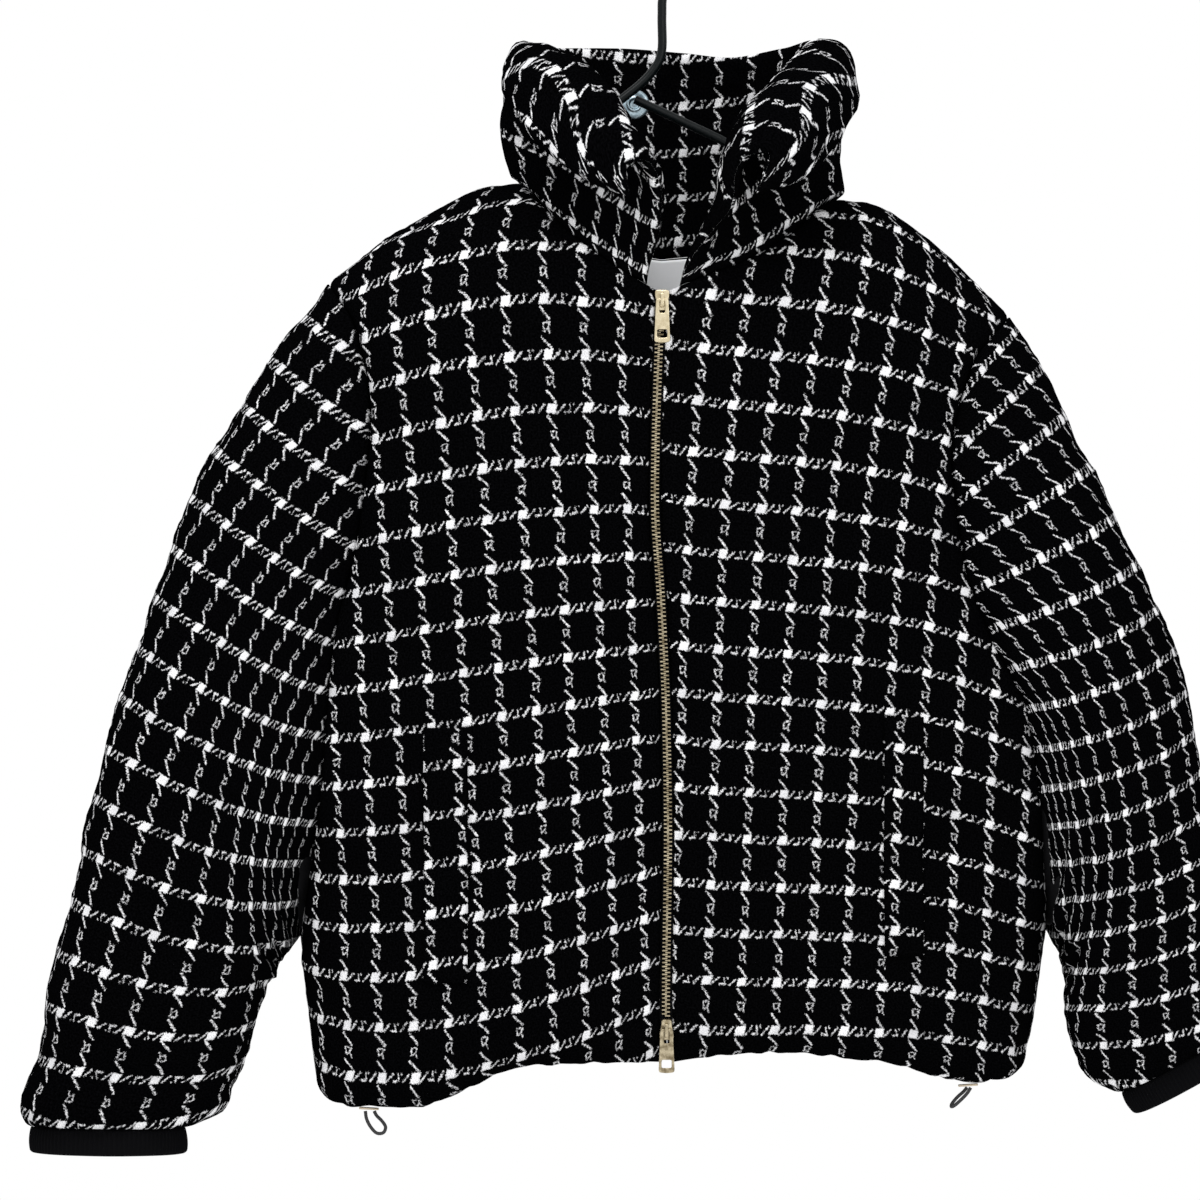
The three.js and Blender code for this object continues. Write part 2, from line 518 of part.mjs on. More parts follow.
// A point in the middle of the collar's cloth: "rows" counts its table's sections.
function collarPoint(rows, up) {
  const share = rows / (COLLAR.length - 1);
  const foot = neckPoint(neckPlace(rows), CENTRE);
  const climb = collarLines.map((line) => line.getPoint(share));
  const above = foot.clone().lerp(climb[0], 0.1).setZ(foot.z + SEAM_STANDS);
  return new THREE.CatmullRomCurve3([foot, above, ...climb]).getPoint(up);
}

const COLLAR_STEPS = 2 * (COLLAR.length - 1);
const collarColumns = Array.from({ length: COLLAR_STEPS + 1 }, (_, i) => i / 2);
const collarMiddle = COLLAR_UP.map((up) => collarColumns.map((rows) => collarPoint(rows, up)));
const collarNormals = gridNormals(collarMiddle);
const collarOuter = moved(collarMiddle, collarNormals, CENTRE);
const collarInner = moved(collarMiddle, collarNormals, -CENTRE);
// Where it meets the neckline its faces run on from the cloth below.
collarOuter[0] = collarColumns.map((rows) => neckPoint(neckPlace(rows), 0));
collarInner[0] = collarColumns.map((rows) => neckPoint(neckPlace(rows), WALL));
add("collar", wallBetween(collarOuter, collarInner, false), TWEED);

// Where on a front panel a place lies: its share across and up for a distance outward and a height.
function onFront(half, out, z) {
  let low = 0;
  let high = 1;
  let across = 0.5;
  for (let i = 0; i < 40; i += 1) {
    const up = (low + high) / 2;
    const middle = Math.abs(torsoPoint(half, -1, 0, up, 0).x);
    across = (out - middle) / (Math.abs(torsoPoint(half, -1, 1, up, 0).x) - middle);
    if (torsoPoint(half, -1, across, up, 0).z < z) low = up;
    else high = up;
  }
  return { across, up: (low + high) / 2 };
}

// Pocket welts: tweed strips that follow the front they are stitched to.
function weltGrid(half, lift) {
  const { top, bottom, near, far } = POCKETS[half];
  const heights = Array.from({ length: 9 }, (_, i) => mix(bottom, top, i / 8));
  return heights.map((z) => [0, 0.33, 0.67, 1].map((share) => {
    const place = onFront(half, mix(near, far, share), z);
    return torsoPoint(half, -1, place.across, place.up, -lift);
  }));
}

for (const half of ["left", "right"]) {
  const { lift } = POCKETS[half];
  const strip = wallBetween(weltGrid(half, lift + POCKET_WALL), weltGrid(half, lift), false);
  add(`pocket_welt_${half}`, strip, TWEED);
}

// Where the zip runs at a height: its middle, and the face of the fronts beside it.
function zipPlace(z) {
  const edge = torsoPoint("left", -1, 0, onFront("left", SLOT, z).up, 0);
  return { x: along(ZIP_LINE, "z", z, "x"), face: edge.y, z };
}

// A strip along the zip, between two heights, from x0 to x1 beside its middle, y0 to y1 behind the
// face of the fronts.
function zipStrip(top, bottom, x0, x1, y0, y1, steps) {
  const rows = Array.from({ length: steps + 1 }, (_, i) => zipPlace(mix(bottom, top, i / steps)));
  const skin = (depth) => rows.map((place) => [x0, x1].map(
    (beside) => new THREE.Vector3(place.x + beside, place.face + depth, place.z)));
  return wallBetween(skin(y0), skin(y1), false);
}

const chainTop = SLIDER_TOPS.top - SLIDER.length - GAP;
const chainBottom = SLIDER_TOPS.bottom + 3 * GAP;
const chainBack = CHAIN.sunk + CHAIN.depth;
add("zip_chain", zipStrip(
  chainTop, chainBottom, -CHAIN.width / 2, CHAIN.width / 2, CHAIN.sunk, chainBack, 24), BRASS);
for (const [half, x0, x1] of [["left", 2 * GAP - SLOT, -GAP / 2], ["right", GAP / 2, SLOT - 2 * GAP]]) {
  const tape = zipStrip(TAPE.top, TAPE.bottom, x0, x1, chainBack + GAP, chainBack + GAP + TAPE.wall, 24);
  add(`zip_tape_${half}`, tape, BLACK_TAPE);
}

// --- hard pieces joined from several shapes -----------------------------------------------------

const wasm = await Module();
wasm.setup();

function toSolid(geometry) {
  const bare = geometry.clone();
  bare.deleteAttribute("normal");
  bare.deleteAttribute("uv");
  const merged = mergeVertices(bare, 1e-4);
  return new wasm.Manifold(new wasm.Mesh({
    numProp: 3,
    vertProperties: new Float32Array(merged.attributes.position.array),
    triVerts: new Uint32Array(merged.index.array),
  }));
}

function toGeometry(solid) {
  const mesh = solid.getMesh();
  const geometry = new THREE.BufferGeometry();
  geometry.setAttribute("position", new THREE.BufferAttribute(mesh.vertProperties, 3));
  geometry.setIndex(new THREE.BufferAttribute(mesh.triVerts, 1));
  geometry.computeVertexNormals();
  return geometry;
}

// A flat plate from its outline, in the XZ plane, between two depths.
function plate(shape, front, back) {
  const geometry = new THREE.ExtrudeGeometry(shape, {
    depth: back - front, bevelEnabled: false, curveSegments: 6,
  });
  return geometry.rotateX(Math.PI / 2).translate(0, back, 0);
}

function outline(points) {
  return new THREE.Shape(points.map(([x, z]) => new THREE.Vector2(x, z)));
}

// The slider: a shield-shaped plate in front of the slot, a core down in it, and the bridge.
// "wideAt" is 0 where the wide end is at its top, 1 where the slider is upside down.
function sliderGeometry(wideAt) {
  const { length, wide, narrow, plate: thick, core, coreDepth } = SLIDER;
  const topHalf = (wideAt === 0 ? wide : narrow) / 2;
  const lowHalf = (wideAt === 0 ? narrow : wide) / 2;
  const shield = outline([
    [-topHalf + 1.2, 0], [topHalf - 1.2, 0], [topHalf, -1.4], [topHalf, -4.4], [lowHalf, -length + 4.4],
    [lowHalf, -length + 1.4], [lowHalf - 1.2, -length], [-lowHalf + 1.2, -length], [-lowHalf, -length + 1.4],
    [-lowHalf, -length + 4.4], [-topHalf, -4.4], [-topHalf, -1.4],
  ]);
  const front = plate(shield, -thick - GAP, -GAP);
  const middle = new THREE.BoxGeometry(core, coreDepth + 1, length - 0.6);
  middle.translate(0, (coreDepth - 1) / 2, -length / 2);
  const rise = BRIDGE.inside + BRIDGE.wall;
  const half = BRIDGE.length / 2;
  const arch = new THREE.Shape();
  arch.moveTo(-half, 0.5);
  arch.lineTo(-half, -rise + 1.6);
  arch.quadraticCurveTo(-half, -rise, -half + 1.6, -rise);
  arch.lineTo(half - 1.6, -rise);
  arch.quadraticCurveTo(half, -rise, half, -rise + 1.6);
  arch.lineTo(half, 0.5);
  arch.lineTo(half - BRIDGE.wall, 0.5);
  arch.lineTo(half - BRIDGE.wall, -BRIDGE.inside);
  arch.lineTo(-half + BRIDGE.wall, -BRIDGE.inside);
  arch.lineTo(-half + BRIDGE.wall, 0.5);
  const across = { depth: BRIDGE.width, bevelEnabled: false, curveSegments: 4 };
  const bridge = new THREE.ExtrudeGeometry(arch, across);
  bridge.translate(0, 0, -BRIDGE.width / 2).rotateY(-Math.PI / 2).rotateX(Math.PI / 2);
  bridge.translate(0, -thick - GAP, -length / 2);
  return toGeometry(toSolid(front).add(toSolid(middle)).add(toSolid(bridge)));
}

// The pull tab hangs from its bar, which lies inside the bridge: a slot for the bridge above, an
// oblong window below.
function pullGeometry() {
  const { length, topWidth, lowWidth, wall, bar, slot } = PULL;
  const top = bar / 2;
  const shape = outline([
    [-topWidth / 2 + 1.6, top], [topWidth / 2 - 1.6, top], [topWidth / 2, top - 1.6],
    [lowWidth / 2, top - length + 2.6], [lowWidth / 2 - 1.2, top - length + 1], [0, top - length],
    [-lowWidth / 2 + 1.2, top - length + 1], [-lowWidth / 2, top - length + 2.6], [-topWidth / 2, top - 1.6],
  ]);
  const hole = (width, high, low) => new THREE.Path([
    [-width / 2, low], [width / 2, low], [width / 2, high], [-width / 2, high],
  ].map(([x, z]) => new THREE.Vector2(x, z)));
  const windowLow = top - length + PULL_WINDOW.up;
  shape.holes.push(hole(slot[0], -bar / 2, -bar / 2 - slot[1]));
  shape.holes.push(hole(PULL_WINDOW.width, windowLow + PULL_WINDOW.height, windowLow));
  return plate(shape, -wall / 2, wall / 2);
}

for (const end of ["top", "bottom"]) {
  const finish = end === "top" ? PALE_GOLD : BRASS;
  const above = zipPlace(SLIDER_TOPS[end]);
  const below = zipPlace(SLIDER_TOPS[end] - SLIDER.length);
  const slider = add(`zip_slider_${end}`, sliderGeometry(end === "top" ? 0 : 1), finish);
  slider.position.set((above.x + below.x) / 2, above.face, above.z);
  slider.rotation.x = Math.atan2(below.face - above.face, SLIDER.length);
  slider.updateMatrix();
  const pivot = new THREE.Vector3(0, -GAP - SLIDER.plate - BRIDGE.inside / 2, -SLIDER.length / 2);
  const pull = add(`zip_pull_${end}`, pullGeometry(), finish);
  pull.position.copy(pivot.applyMatrix4(slider.matrix));
}

// The neck label lies on the inside of the back, just below the collar's seam.
function labelGrid(inset) {
  const heights = [LABEL.low, (LABEL.low + LABEL.high) / 2, LABEL.high];
  return heights.map((up) => [0, 0.25, 0.5, 0.75, 1].map((share) => {
    const x = mix(LABEL.left, LABEL.right, share);
    const half = x < 0 ? "left" : "right";
    const across = Math.abs(x) / Math.abs(torsoPoint(half, 1, 1, up, 0).x);
    return torsoPoint(half, 1, across, up, inset);
  }));
}

add("neck_label", wallBetween(labelGrid(WALL + GAP), labelGrid(WALL + GAP + LABEL.wall), false), PALE_CLOTH);

// The press stud sits flat on the inside of the collar at the back.
const studFoot = collarPoint(STUD.along, STUD.up);
const studOver = collarPoint(STUD.along + 0.1, STUD.up).sub(studFoot);
const studNormal = collarPoint(STUD.along, STUD.up + 0.02).sub(studFoot).cross(studOver).normalize();
const studRim = [
  [0, 0], [STUD.radius - 0.5, 0], [STUD.radius, 0.8], [STUD.radius - 1, STUD.wall - 0.5], [4.4, STUD.wall],
  [3.2, STUD.wall - 1], [0, STUD.wall - 1.2],
].map(([r, h]) => new THREE.Vector2(r, h));
const stud = add("collar_stud", new THREE.LatheGeometry(studRim, 32), STEEL_BLUE);
stud.position.copy(studFoot).addScaledVector(studNormal, -CENTRE - STUD.lift);
stud.quaternion.setFromUnitVectors(new THREE.Vector3(0, 1, 0), studNormal.clone().negate());

// Drawcord: an eyelet patch under each end of the hem, and the loop of cord that leaves it.
for (const half of ["left", "right"]) {
  const across = CORD_EXITS[half];
  const hemPoint = torsoPoint(half, -1, across, 0, 0).lerp(torsoPoint(half, -1, across, 0, WALL), 0.5);
  const nearer = torsoPoint(half, -1, across - 0.03, 0, WALL / 2);
  const beside = torsoPoint(half, -1, across + 0.03, 0, WALL / 2).sub(nearer);
  const patch = new THREE.BoxGeometry(EYELET.length, EYELET.width, EYELET.wall);
  const level = new THREE.Vector3(Math.sign(beside.x), 0, 0);
  const tilt = new THREE.Quaternion().setFromUnitVectors(level, beside.normalize());
  const eyelet = add(`drawcord_eyelet_${half}`, patch, BEIGE);
  eyelet.quaternion.copy(tilt);
  eyelet.position.copy(hemPoint).setZ(hemPoint.z - EYELET.wall / 2 - 0.8);
  const start = eyelet.position.clone().setZ(eyelet.position.z - EYELET.wall / 2 - 1.1);
  const loop = new THREE.CatmullRomCurve3(LOOPS[half].map(
    ([x, y, z]) => start.clone().add(new THREE.Vector3(x, y, z))));
  add(`drawcord_loop_${half}`, tube(loop, CORD_RADIUS, 22, 2), BLACK_TAPE);
}

// Hanger. Under a shoulder, an arm follows the ridge's inner face.
function seatPoints(half) {
  const topOut = FRONT_TOP[half][FRONT_TOP[half].length - 1].out;
  const under = (out) => torsoPoint(half, -1, out / topOut, 1, WALL).setY(0);
  return SHOULDER_SEATS.map((out) => {
    const slope = under(out + 2).sub(under(out - 2)).normalize();
    const down = new THREE.Vector3(sideways(half) * slope.z, 0, -Math.abs(slope.x));
    return under(out).addScaledVector(down, ROD_RADIUS + SEAT_GAP);
  });
}

const armPath = (half, y) => [
  ...ARMS[half].map(({ x, z }, i) => new THREE.Vector3(x, i < 2 ? y : y * Math.max(0, (4 - i) / 3), z)),
  ...seatPoints(half),
];
const hookArc = Array.from({ length: 12 }, (_, i) => {
  const angle = mix(1.12 * Math.PI, -0.16 * Math.PI, i / 11);
  const up = HOOK_RADIUS * (Math.sin(angle) - 1) + ROD_RADIUS;
  return new THREE.Vector3(HOOK_RADIUS * Math.cos(angle), 0, up);
});
const rodPath = [
  ...hookArc, ...SHAFT.map((bend) => new THREE.Vector3(bend.x, 0, bend.z)), ...armPath("left", 0),
];
const rod = tube(new THREE.CatmullRomCurve3(rodPath, false, "centripetal"), ROD_RADIUS, 90, 3);
add("hanger_rod", rod, BLACK_PAINT);
const armCurve = new THREE.CatmullRomCurve3(armPath("right", 2 * ROD_RADIUS + GAP), false, "centripetal");
const arm = tube(armCurve, ROD_RADIUS, 40, 3);
add("hanger_arm_right", arm, BLACK_PAINT);

export default jacket;
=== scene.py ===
import math

import bmesh
import bpy
import numpy as np
from mathutils import Matrix, Vector


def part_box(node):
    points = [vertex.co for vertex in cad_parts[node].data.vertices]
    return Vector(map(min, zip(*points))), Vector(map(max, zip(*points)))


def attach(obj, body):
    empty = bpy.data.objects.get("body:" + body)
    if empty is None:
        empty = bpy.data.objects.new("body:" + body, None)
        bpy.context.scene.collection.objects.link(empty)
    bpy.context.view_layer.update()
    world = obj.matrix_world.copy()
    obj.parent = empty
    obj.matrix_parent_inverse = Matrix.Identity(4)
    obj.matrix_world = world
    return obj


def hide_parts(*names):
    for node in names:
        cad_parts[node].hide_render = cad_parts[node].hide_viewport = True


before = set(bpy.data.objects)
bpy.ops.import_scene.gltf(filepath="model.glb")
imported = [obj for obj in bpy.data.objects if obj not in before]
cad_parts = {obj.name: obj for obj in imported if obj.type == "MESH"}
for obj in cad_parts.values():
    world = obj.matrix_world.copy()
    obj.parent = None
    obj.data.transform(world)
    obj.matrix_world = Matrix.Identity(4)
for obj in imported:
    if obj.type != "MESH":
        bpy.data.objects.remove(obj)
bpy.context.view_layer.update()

# ---- Camera: looks straight at the hanging jacket's front through a long lens, 4 m away.
# Everything here is worked out in millimetres in the model's frame and turned into metres last.
MM = 0.001
VIEW_MIDDLE = (-41.3, -467.3)
VIEW_WIDTH = 800.0
VIEW_DISTANCE = 4000.0

lens = bpy.data.cameras.new("camera")
lens.sensor_width = 36.0
lens.lens = 36.0 * VIEW_DISTANCE / VIEW_WIDTH
lens.clip_end = 50.0
camera = bpy.data.objects.new("camera", lens)
camera.location = (VIEW_MIDDLE[0] * MM, -VIEW_DISTANCE * MM, VIEW_MIDDLE[1] * MM)
camera.rotation_euler = (math.radians(90), 0, 0)
bpy.context.collection.objects.link(camera)
bpy.context.scene.camera = camera

# ---- Drawcord loops: a round black elastic runs in the hem and shows as a short loop at each side.
# Both ends of a loop go back up into the hem through an eyelet patch.
CORD_RADIUS = 1.15
CORD_LEAVES = 1.7           # below the middle of the eyelet patch
LOOPS = {                   # each loop from its exit: sideways, forward and up
    "left": [
        (-2.4, 0, 0), (-1.6, -0.6, -5), (1.2, -1, -10.5), (5.4, -1, -14.6), (9.6, -0.8, -14.2),
        (11, -0.4, -10.6), (8.4, 0, -6.4), (5, 0.3, -3), (3.4, 0.4, 0),
    ],
    "right": [
        (1.6, -1.6, 0), (-0.6, -2.4, -3.4), (-5, -2.8, -8), (-9.2, -1.6, -11.8), (-11, 0.4, -12.6),
        (-10.6, 2.2, -11), (-7, 2.6, -6.6), (-2.6, 2.2, -2.6), (-0.6, 1.8, 0),
    ],
}


def through(points, at):
    """A smooth line through points (first axis), at shares from 0 to 1 of their count."""
    points = np.asarray(points, float)
    knots = np.concatenate([[2 * points[0] - points[1]], points, [2 * points[-1] - points[-2]]])
    place = np.clip(np.asarray(at, float), 0, 1) * (len(points) - 1)
    start = np.minimum(place.astype(int), len(points) - 2)
    t = (place - start).reshape((-1,) + (1,) * (points.ndim - 1))
    before, a, b, after = (knots[start + k] for k in range(4))

    def gap(p, q):
        return np.maximum(np.sqrt(np.linalg.norm(q - p, axis=-1, keepdims=True)), 1e-4)

    g0, g1, g2 = gap(before, a), gap(a, b), gap(b, after)
    leave = g1 * ((a - before) / g0 - (b - before) / (g0 + g1) + (b - a) / g1)
    arrive = g1 * ((b - a) / g1 - (after - a) / (g1 + g2) + (after - b) / g2)
    return (a * (2 * t ** 3 - 3 * t ** 2 + 1) + leave * (t ** 3 - 2 * t ** 2 + t)
            + b * (3 * t ** 2 - 2 * t ** 3) + arrive * (t ** 3 - t ** 2))


def rod(name, points, radius, sides=4):
    """A round rod or cord along points."""
    curve = bpy.data.curves.new(name, "CURVE")
    curve.dimensions = "3D"
    curve.bevel_depth = radius * MM
    curve.bevel_resolution = sides
    curve.use_fill_caps = True
    spline = curve.splines.new("POLY")
    spline.points.add(len(points) - 1)
    spline.points.foreach_set("co", np.c_[np.asarray(points) * MM, np.ones(len(points))].ravel())
    spline.use_smooth = True
    piece = bpy.data.objects.new(name, curve)
    bpy.context.collection.objects.link(piece)
    return piece


def finish(name, colour=(0.01, 0.01, 0.01), **sockets):
    """A new material, and a function that adds one shader node with its inputs linked or set."""
    material = bpy.data.materials.new(name)
    material.use_nodes = True
    tree = material.node_tree
    surface = tree.nodes["Principled BSDF"]
    surface.inputs["Base Color"].default_value = (*colour, 1)
    for socket, value in sockets.items():
        surface.inputs[socket.replace("_", " ")].default_value = value

    def node(kind, *inputs, result=0, **settings):
        made = tree.nodes.new("ShaderNode" + kind)
        for key, value in settings.items():
            setattr(made, key, value)
        for index, value in enumerate(inputs):
            if isinstance(value, bpy.types.NodeSocket):
                tree.links.new(value, made.inputs[index])
            elif value is not None:
                made.inputs[index].default_value = value
        return made.outputs[result]

    def give(socket, value):
        tree.links.new(value, surface.inputs[socket])

    return material, node, give


elastic, node, give = finish("cord_elastic", (0.012, 0.012, 0.013), Roughness=0.7)
braid = node("TexWave", None, 900.0, 1.5, result=1, wave_type="BANDS", bands_direction="DIAGONAL")
give("Normal", node("Bump", 0.5, 0.0003, 1.0, braid))

for half, route in LOOPS.items():
    low, high = (np.array(corner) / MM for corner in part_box(f"drawcord_eyelet_{half}"))
    leaves = (low + high) / 2 - (0, 0, CORD_LEAVES)
    line = through(leaves + np.array(route, float), np.linspace(0, 1, 33))
    loop = rod(f"elastic_loop_{half}", line, CORD_RADIUS)
    loop.data.materials.append(elastic)
    run = float(np.linalg.norm(np.diff(line, axis=0), axis=1).sum())
    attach(loop, "jacket")
    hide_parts(f"drawcord_loop_{half}")

# ---- Fronts: two padded tweed panels, left and right, joined by the zip.
# Boucle tweed over wadding and a plain lining, about 10 mm thick in all; soft quilting seams run
# across, the hem is drawn in by its cord, and the armhole seams pull the cloth into a valley.
WALL = 10.0
SEAM_GAP = 0.3
EDGE_POWER = 3.2
PANEL_HEIGHT = 500.0
RIDGE_ROUND = 70.0
HEM_TUCK = 9.0
CROTCH_AT = 0.2
ZIP_SLOT = 4.1
ZIP_LINE = {
    "z": [-774, -735, -622, -539, -467, -401, -301, -264],
    "x": [3.6, 2, 3.3, 2, -1.3, -5.3, -2.7, 0],
}
DEPTH = {
    "at": [0, 0.08, 0.35, 0.7, 0.88, 1],
    "front": [58, 62, 66, 68, 67, 66],
    "back": [52, 56, 60, 62, 58, 52],
}
HEM = {
    "left": {"at": [0, 0.4, 0.8, 1], "front": [-771, -774, -803, -801], "back": [-764, -768, -794, -801]},
    "right": {
        "at": [0, 0.22, 0.6, 0.92, 1],
        "front": [-771, -765, -771, -787, -785],
        "back": [-764, -764, -772, -786, -785],
    },
}
SHOULDER = {
    "left": {"out": [93, 110, 140, 180, 221], "z": [-191, -192, -202, -226, -255]},
    "right": {"out": [114, 130, 162, 188, 230], "z": [-202, -203, -217, -236, -277]},
}
NECKLINE = {
    ("left", -1): {"out": [0, 22, 45, 70], "z": [-264, -251, -235, -214],
                   "depth": [66, 62, 52, 34], "turn": [0, 0.1, 0.3, 0.6]},
    ("right", -1): {"out": [0, 24, 52, 86], "z": [-264, -254, -243, -222],
                    "depth": [66, 62, 52, 34], "turn": [0, 0.1, 0.3, 0.6]},
    ("left", 1): {"out": [0, 45, 74], "z": [-238, -229, -211], "depth": [52, 45, 30], "turn": [0, 0.2, 0.6]},
    ("right", 1): {"out": [0, 52, 90], "z": [-238, -231, -216], "depth": [52, 45, 30], "turn": [0, 0.2, 0.6]},
}
TOP = {}
for (half, face), line in NECKLINE.items():
    more = len(SHOULDER[half]["out"])
    TOP[half, face] = {
        "out": line["out"] + SHOULDER[half]["out"], "z": line["z"] + SHOULDER[half]["z"],
        "depth": line["depth"] + [0] * more, "turn": line["turn"] + [1] * more,
    }
SIDE_SEAM = {
    "left": {"at": [0, 0.12, 0.35, 0.7, 1], "out": [222, 229, 233, 237, 241],
             "z": [-801, -790, -767, -725, -691]},
    "right": {"at": [0, 0.12, 0.35, 0.7, 1], "out": [229, 240, 245, 250, 256],
              "z": [-785, -775, -754, -718, -687]},
}
ARMHOLE_BOW = {
    "left": {"up": [0, 0.2, 0.45, 0.6, 0.78, 0.93, 1], "by": [0, 10, 15, 27, 33, 20, 0]},
    "right": {"up": [0, 0.2, 0.35, 0.48, 0.6, 0.75, 0.92, 1], "by": [0, 1, 6, 28, 42, 46, 28, 0]},
}
RING_AT = [0, 0.09, 0.2, 0.31, 0.42, 0.53, 0.65, 0.77, 0.89, 0.96, 1]
RING_DEPTH = [54, 62, 66, 66, 65, 63, 60, 56, 50, 43, 34]
RING_BOW = [1, 0.35, 0, 0, 0, 0, 0, 0, 0, 0, 0]
SLEEVE = {
    "left": {
        "at": RING_AT, "depth": RING_DEPTH, "bow": RING_BOW,
        "outer_out": [221, 261, 301, 327, 351, 371, 387, 402, 419, 427, 424],
        "outer_z": [-255, -305, -371, -436, -501, -569, -633, -697, -769, -802, -817],
        "inner_out": [241, 243, 246, 249, 252, 256, 260, 269, 281, 291, 314],
        "inner_z": [-691, -694, -698, -703, -708, -716, -728, -754, -791, -808, -818],
    },
    "right": {
        "at": RING_AT, "depth": RING_DEPTH, "bow": RING_BOW,
        "outer_out": [230, 262, 286, 310, 332, 348, 364, 378, 391, 396, 392],
        "outer_z": [-277, -331, -384, -428, -474, -528, -594, -660, -712, -732, -746],
        "inner_out": [256, 258, 260, 262, 263, 264, 265, 268, 275, 287, 304],
        "inner_z": [-687, -691, -696, -701, -708, -717, -732, -756, -779, -790, -796],
    },
}
SIDE = {"left": -1, "right": 1}


def follow(table, key, at, column):
    """Smooth value of one column of a table at places along its key column, never overshooting."""
    keys, values = np.asarray(table[key], float), np.asarray(table[column], float)
    slopes = np.diff(values) / np.diff(keys)
    inner = slopes[:-1] * slopes[1:]
    sums = slopes[:-1] + slopes[1:]
    bends = np.where(inner > 0, 2 * inner / np.where(inner > 0, sums, 1), 0)
    tangents = np.r_[slopes[0], bends, slopes[-1]]
    at = np.clip(at, keys[0], keys[-1])
    i = np.clip(np.searchsorted(keys, at, side="right") - 1, 0, len(keys) - 2)
    span = keys[i + 1] - keys[i]
    t = (at - keys[i]) / span
    return ((2 * t ** 3 - 3 * t ** 2 + 1) * values[i] + (t ** 3 - 2 * t ** 2 + t) * span * tangents[i]
            + (3 * t ** 2 - 2 * t ** 3) * values[i + 1] + (t ** 3 - t ** 2) * span * tangents[i + 1])


def mix(a, b, share):
    return a + (b - a) * share


def rounded(share):
    return np.sqrt(1 - (1 - np.clip(share, 0, 1)) ** 2)


def squarish(share):
    return np.maximum(0, 1 - np.minimum(1, np.abs(share)) ** EDGE_POWER) ** (1 / EDGE_POWER)


def place(x, y, z):
    return np.stack(np.broadcast_arrays(x, y, z), -1)


def sleeve_point(half, at, up, face, inset):
    """A point of a sleeve: at along it, up from its inner to its outer edge, face -1 in front."""
    def get(column):
        return follow(SLEEVE[half], "at", at, column)

    outer_x, outer_z, inner_x, inner_z = (get(c) for c in ("outer_out", "outer_z", "inner_out", "inner_z"))
    length = np.hypot(outer_x - inner_x, outer_z - inner_z)
    chord_x, chord_z = (outer_x - inner_x) / length, (outer_z - inner_z) / length
    leave = np.minimum(1, np.asarray(at) / 0.2)
    out = mix(inner_x + inset * mix(-1, chord_x, leave), outer_x - inset * leave * chord_x, up)
    z = mix(inner_z + inset * mix(0.8, chord_z, leave), outer_z + inset * mix(-1.25, -chord_z, leave), up)
    under = mix(np.sqrt(np.clip(up / 0.2, 0, 1)), 1, leave)
    depth = (get("depth") - inset) * squarish(2 * up - 1) * under
    return place(SIDE[half] * (out - get("bow") * follow(ARMHOLE_BOW[half], "up", up, "by")), face * depth, z)


def side_point(half, up, face, inset):
    """The edge of a torso panel away from the middle: side seam, then armhole seam."""
    armhole = sleeve_point(half, 0, np.clip((up - CROTCH_AT) / (1 - CROTCH_AT), 0, 1), face, inset)
    at = np.clip(up / CROTCH_AT, 0, 1)
    seam = place(SIDE[half] * (follow(SIDE_SEAM[half], "at", at, "out") - inset), 0.0,
                 follow(SIDE_SEAM[half], "at", at, "z") + 0.8 * inset * at * at)
    point = np.where((np.asarray(up) > CROTCH_AT)[..., None], armhole, seam)
    return point - (SIDE[half] * SEAM_GAP / 2, 0, 0)


def torso_point(half, face, across, up, inset):
    """A point of the torso: across from the middle to the side, up from the hem to the top."""
    top = TOP[half, face]
    edge = "front" if face < 0 else "back"
    side, corner, hem_side = (side_point(half, np.asarray(u, float), face, inset) for u in (up, 1.0, 0.0))
    reach, turn, edge_depth = (follow(top, "out", across * top["out"][-1], c) for c in ("z", "turn", "depth"))
    top_depth = np.maximum(0, edge_depth - inset * (1 - turn))
    middle_hem = HEM[half][edge][0]
    middle_z = mix(middle_hem, top["z"][0], up)
    middle_x = SIDE[half] * follow(ZIP_LINE, "z", middle_z, "x") + ZIP_SLOT if face < 0 else 0.0
    x = mix(middle_x, np.abs(side[..., 0]), across)
    hem_extra = follow(HEM[half], "at", across, edge) - mix(middle_hem, hem_side[..., 2], across)
    top_extra = reach - 1.25 * inset * turn - mix(top["z"][0], corner[..., 2], across)
    z = mix(middle_z, side[..., 2], across) + hem_extra * (1 - up) ** 3 + top_extra * up ** 3
    rise = rounded((1 - up) * PANEL_HEIGHT / RIDGE_ROUND)
    tuck = HEM_TUCK * (1 - np.minimum(1, up / 0.06)) ** 2 * np.minimum(1, across / 0.3)
    middle = top_depth + (follow(DEPTH, "at", up, edge) - tuck - inset - top_depth) * rise
    side_depth = np.abs(side[..., 1])
    depth = side_depth + (middle - side_depth) * squarish(across)
    return place(SIDE[half] * x, face * np.maximum(depth, SEAM_GAP / 2), z)


def evenly(line, step, close=(0.4, 1.4, 3.0, 5.5)):
    """Shares from 0 to 1 that are about step mm apart along a line, and closer at both its ends."""
    t = np.linspace(0, 1, 3001)
    run = np.r_[0, np.cumsum(np.linalg.norm(np.diff(line(t), axis=0), axis=1))]
    middle = np.linspace(8.0, run[-1] - 8.0, max(3, round((run[-1] - 16.0) / step) + 1))
    stops = np.r_[0, close, middle, run[-1] - np.array(close[::-1]), run[-1]]
    return np.interp(stops, run, t)


def runs(grid, axis):
    """Distance along the grid's lines from their start, and on to their end."""
    steps = np.linalg.norm(np.diff(grid, axis=axis), axis=-1)
    start = np.concatenate([np.zeros_like(np.take(steps, [0], axis)), np.cumsum(steps, axis)], axis)
    return start, np.take(start, [-1], axis) - start


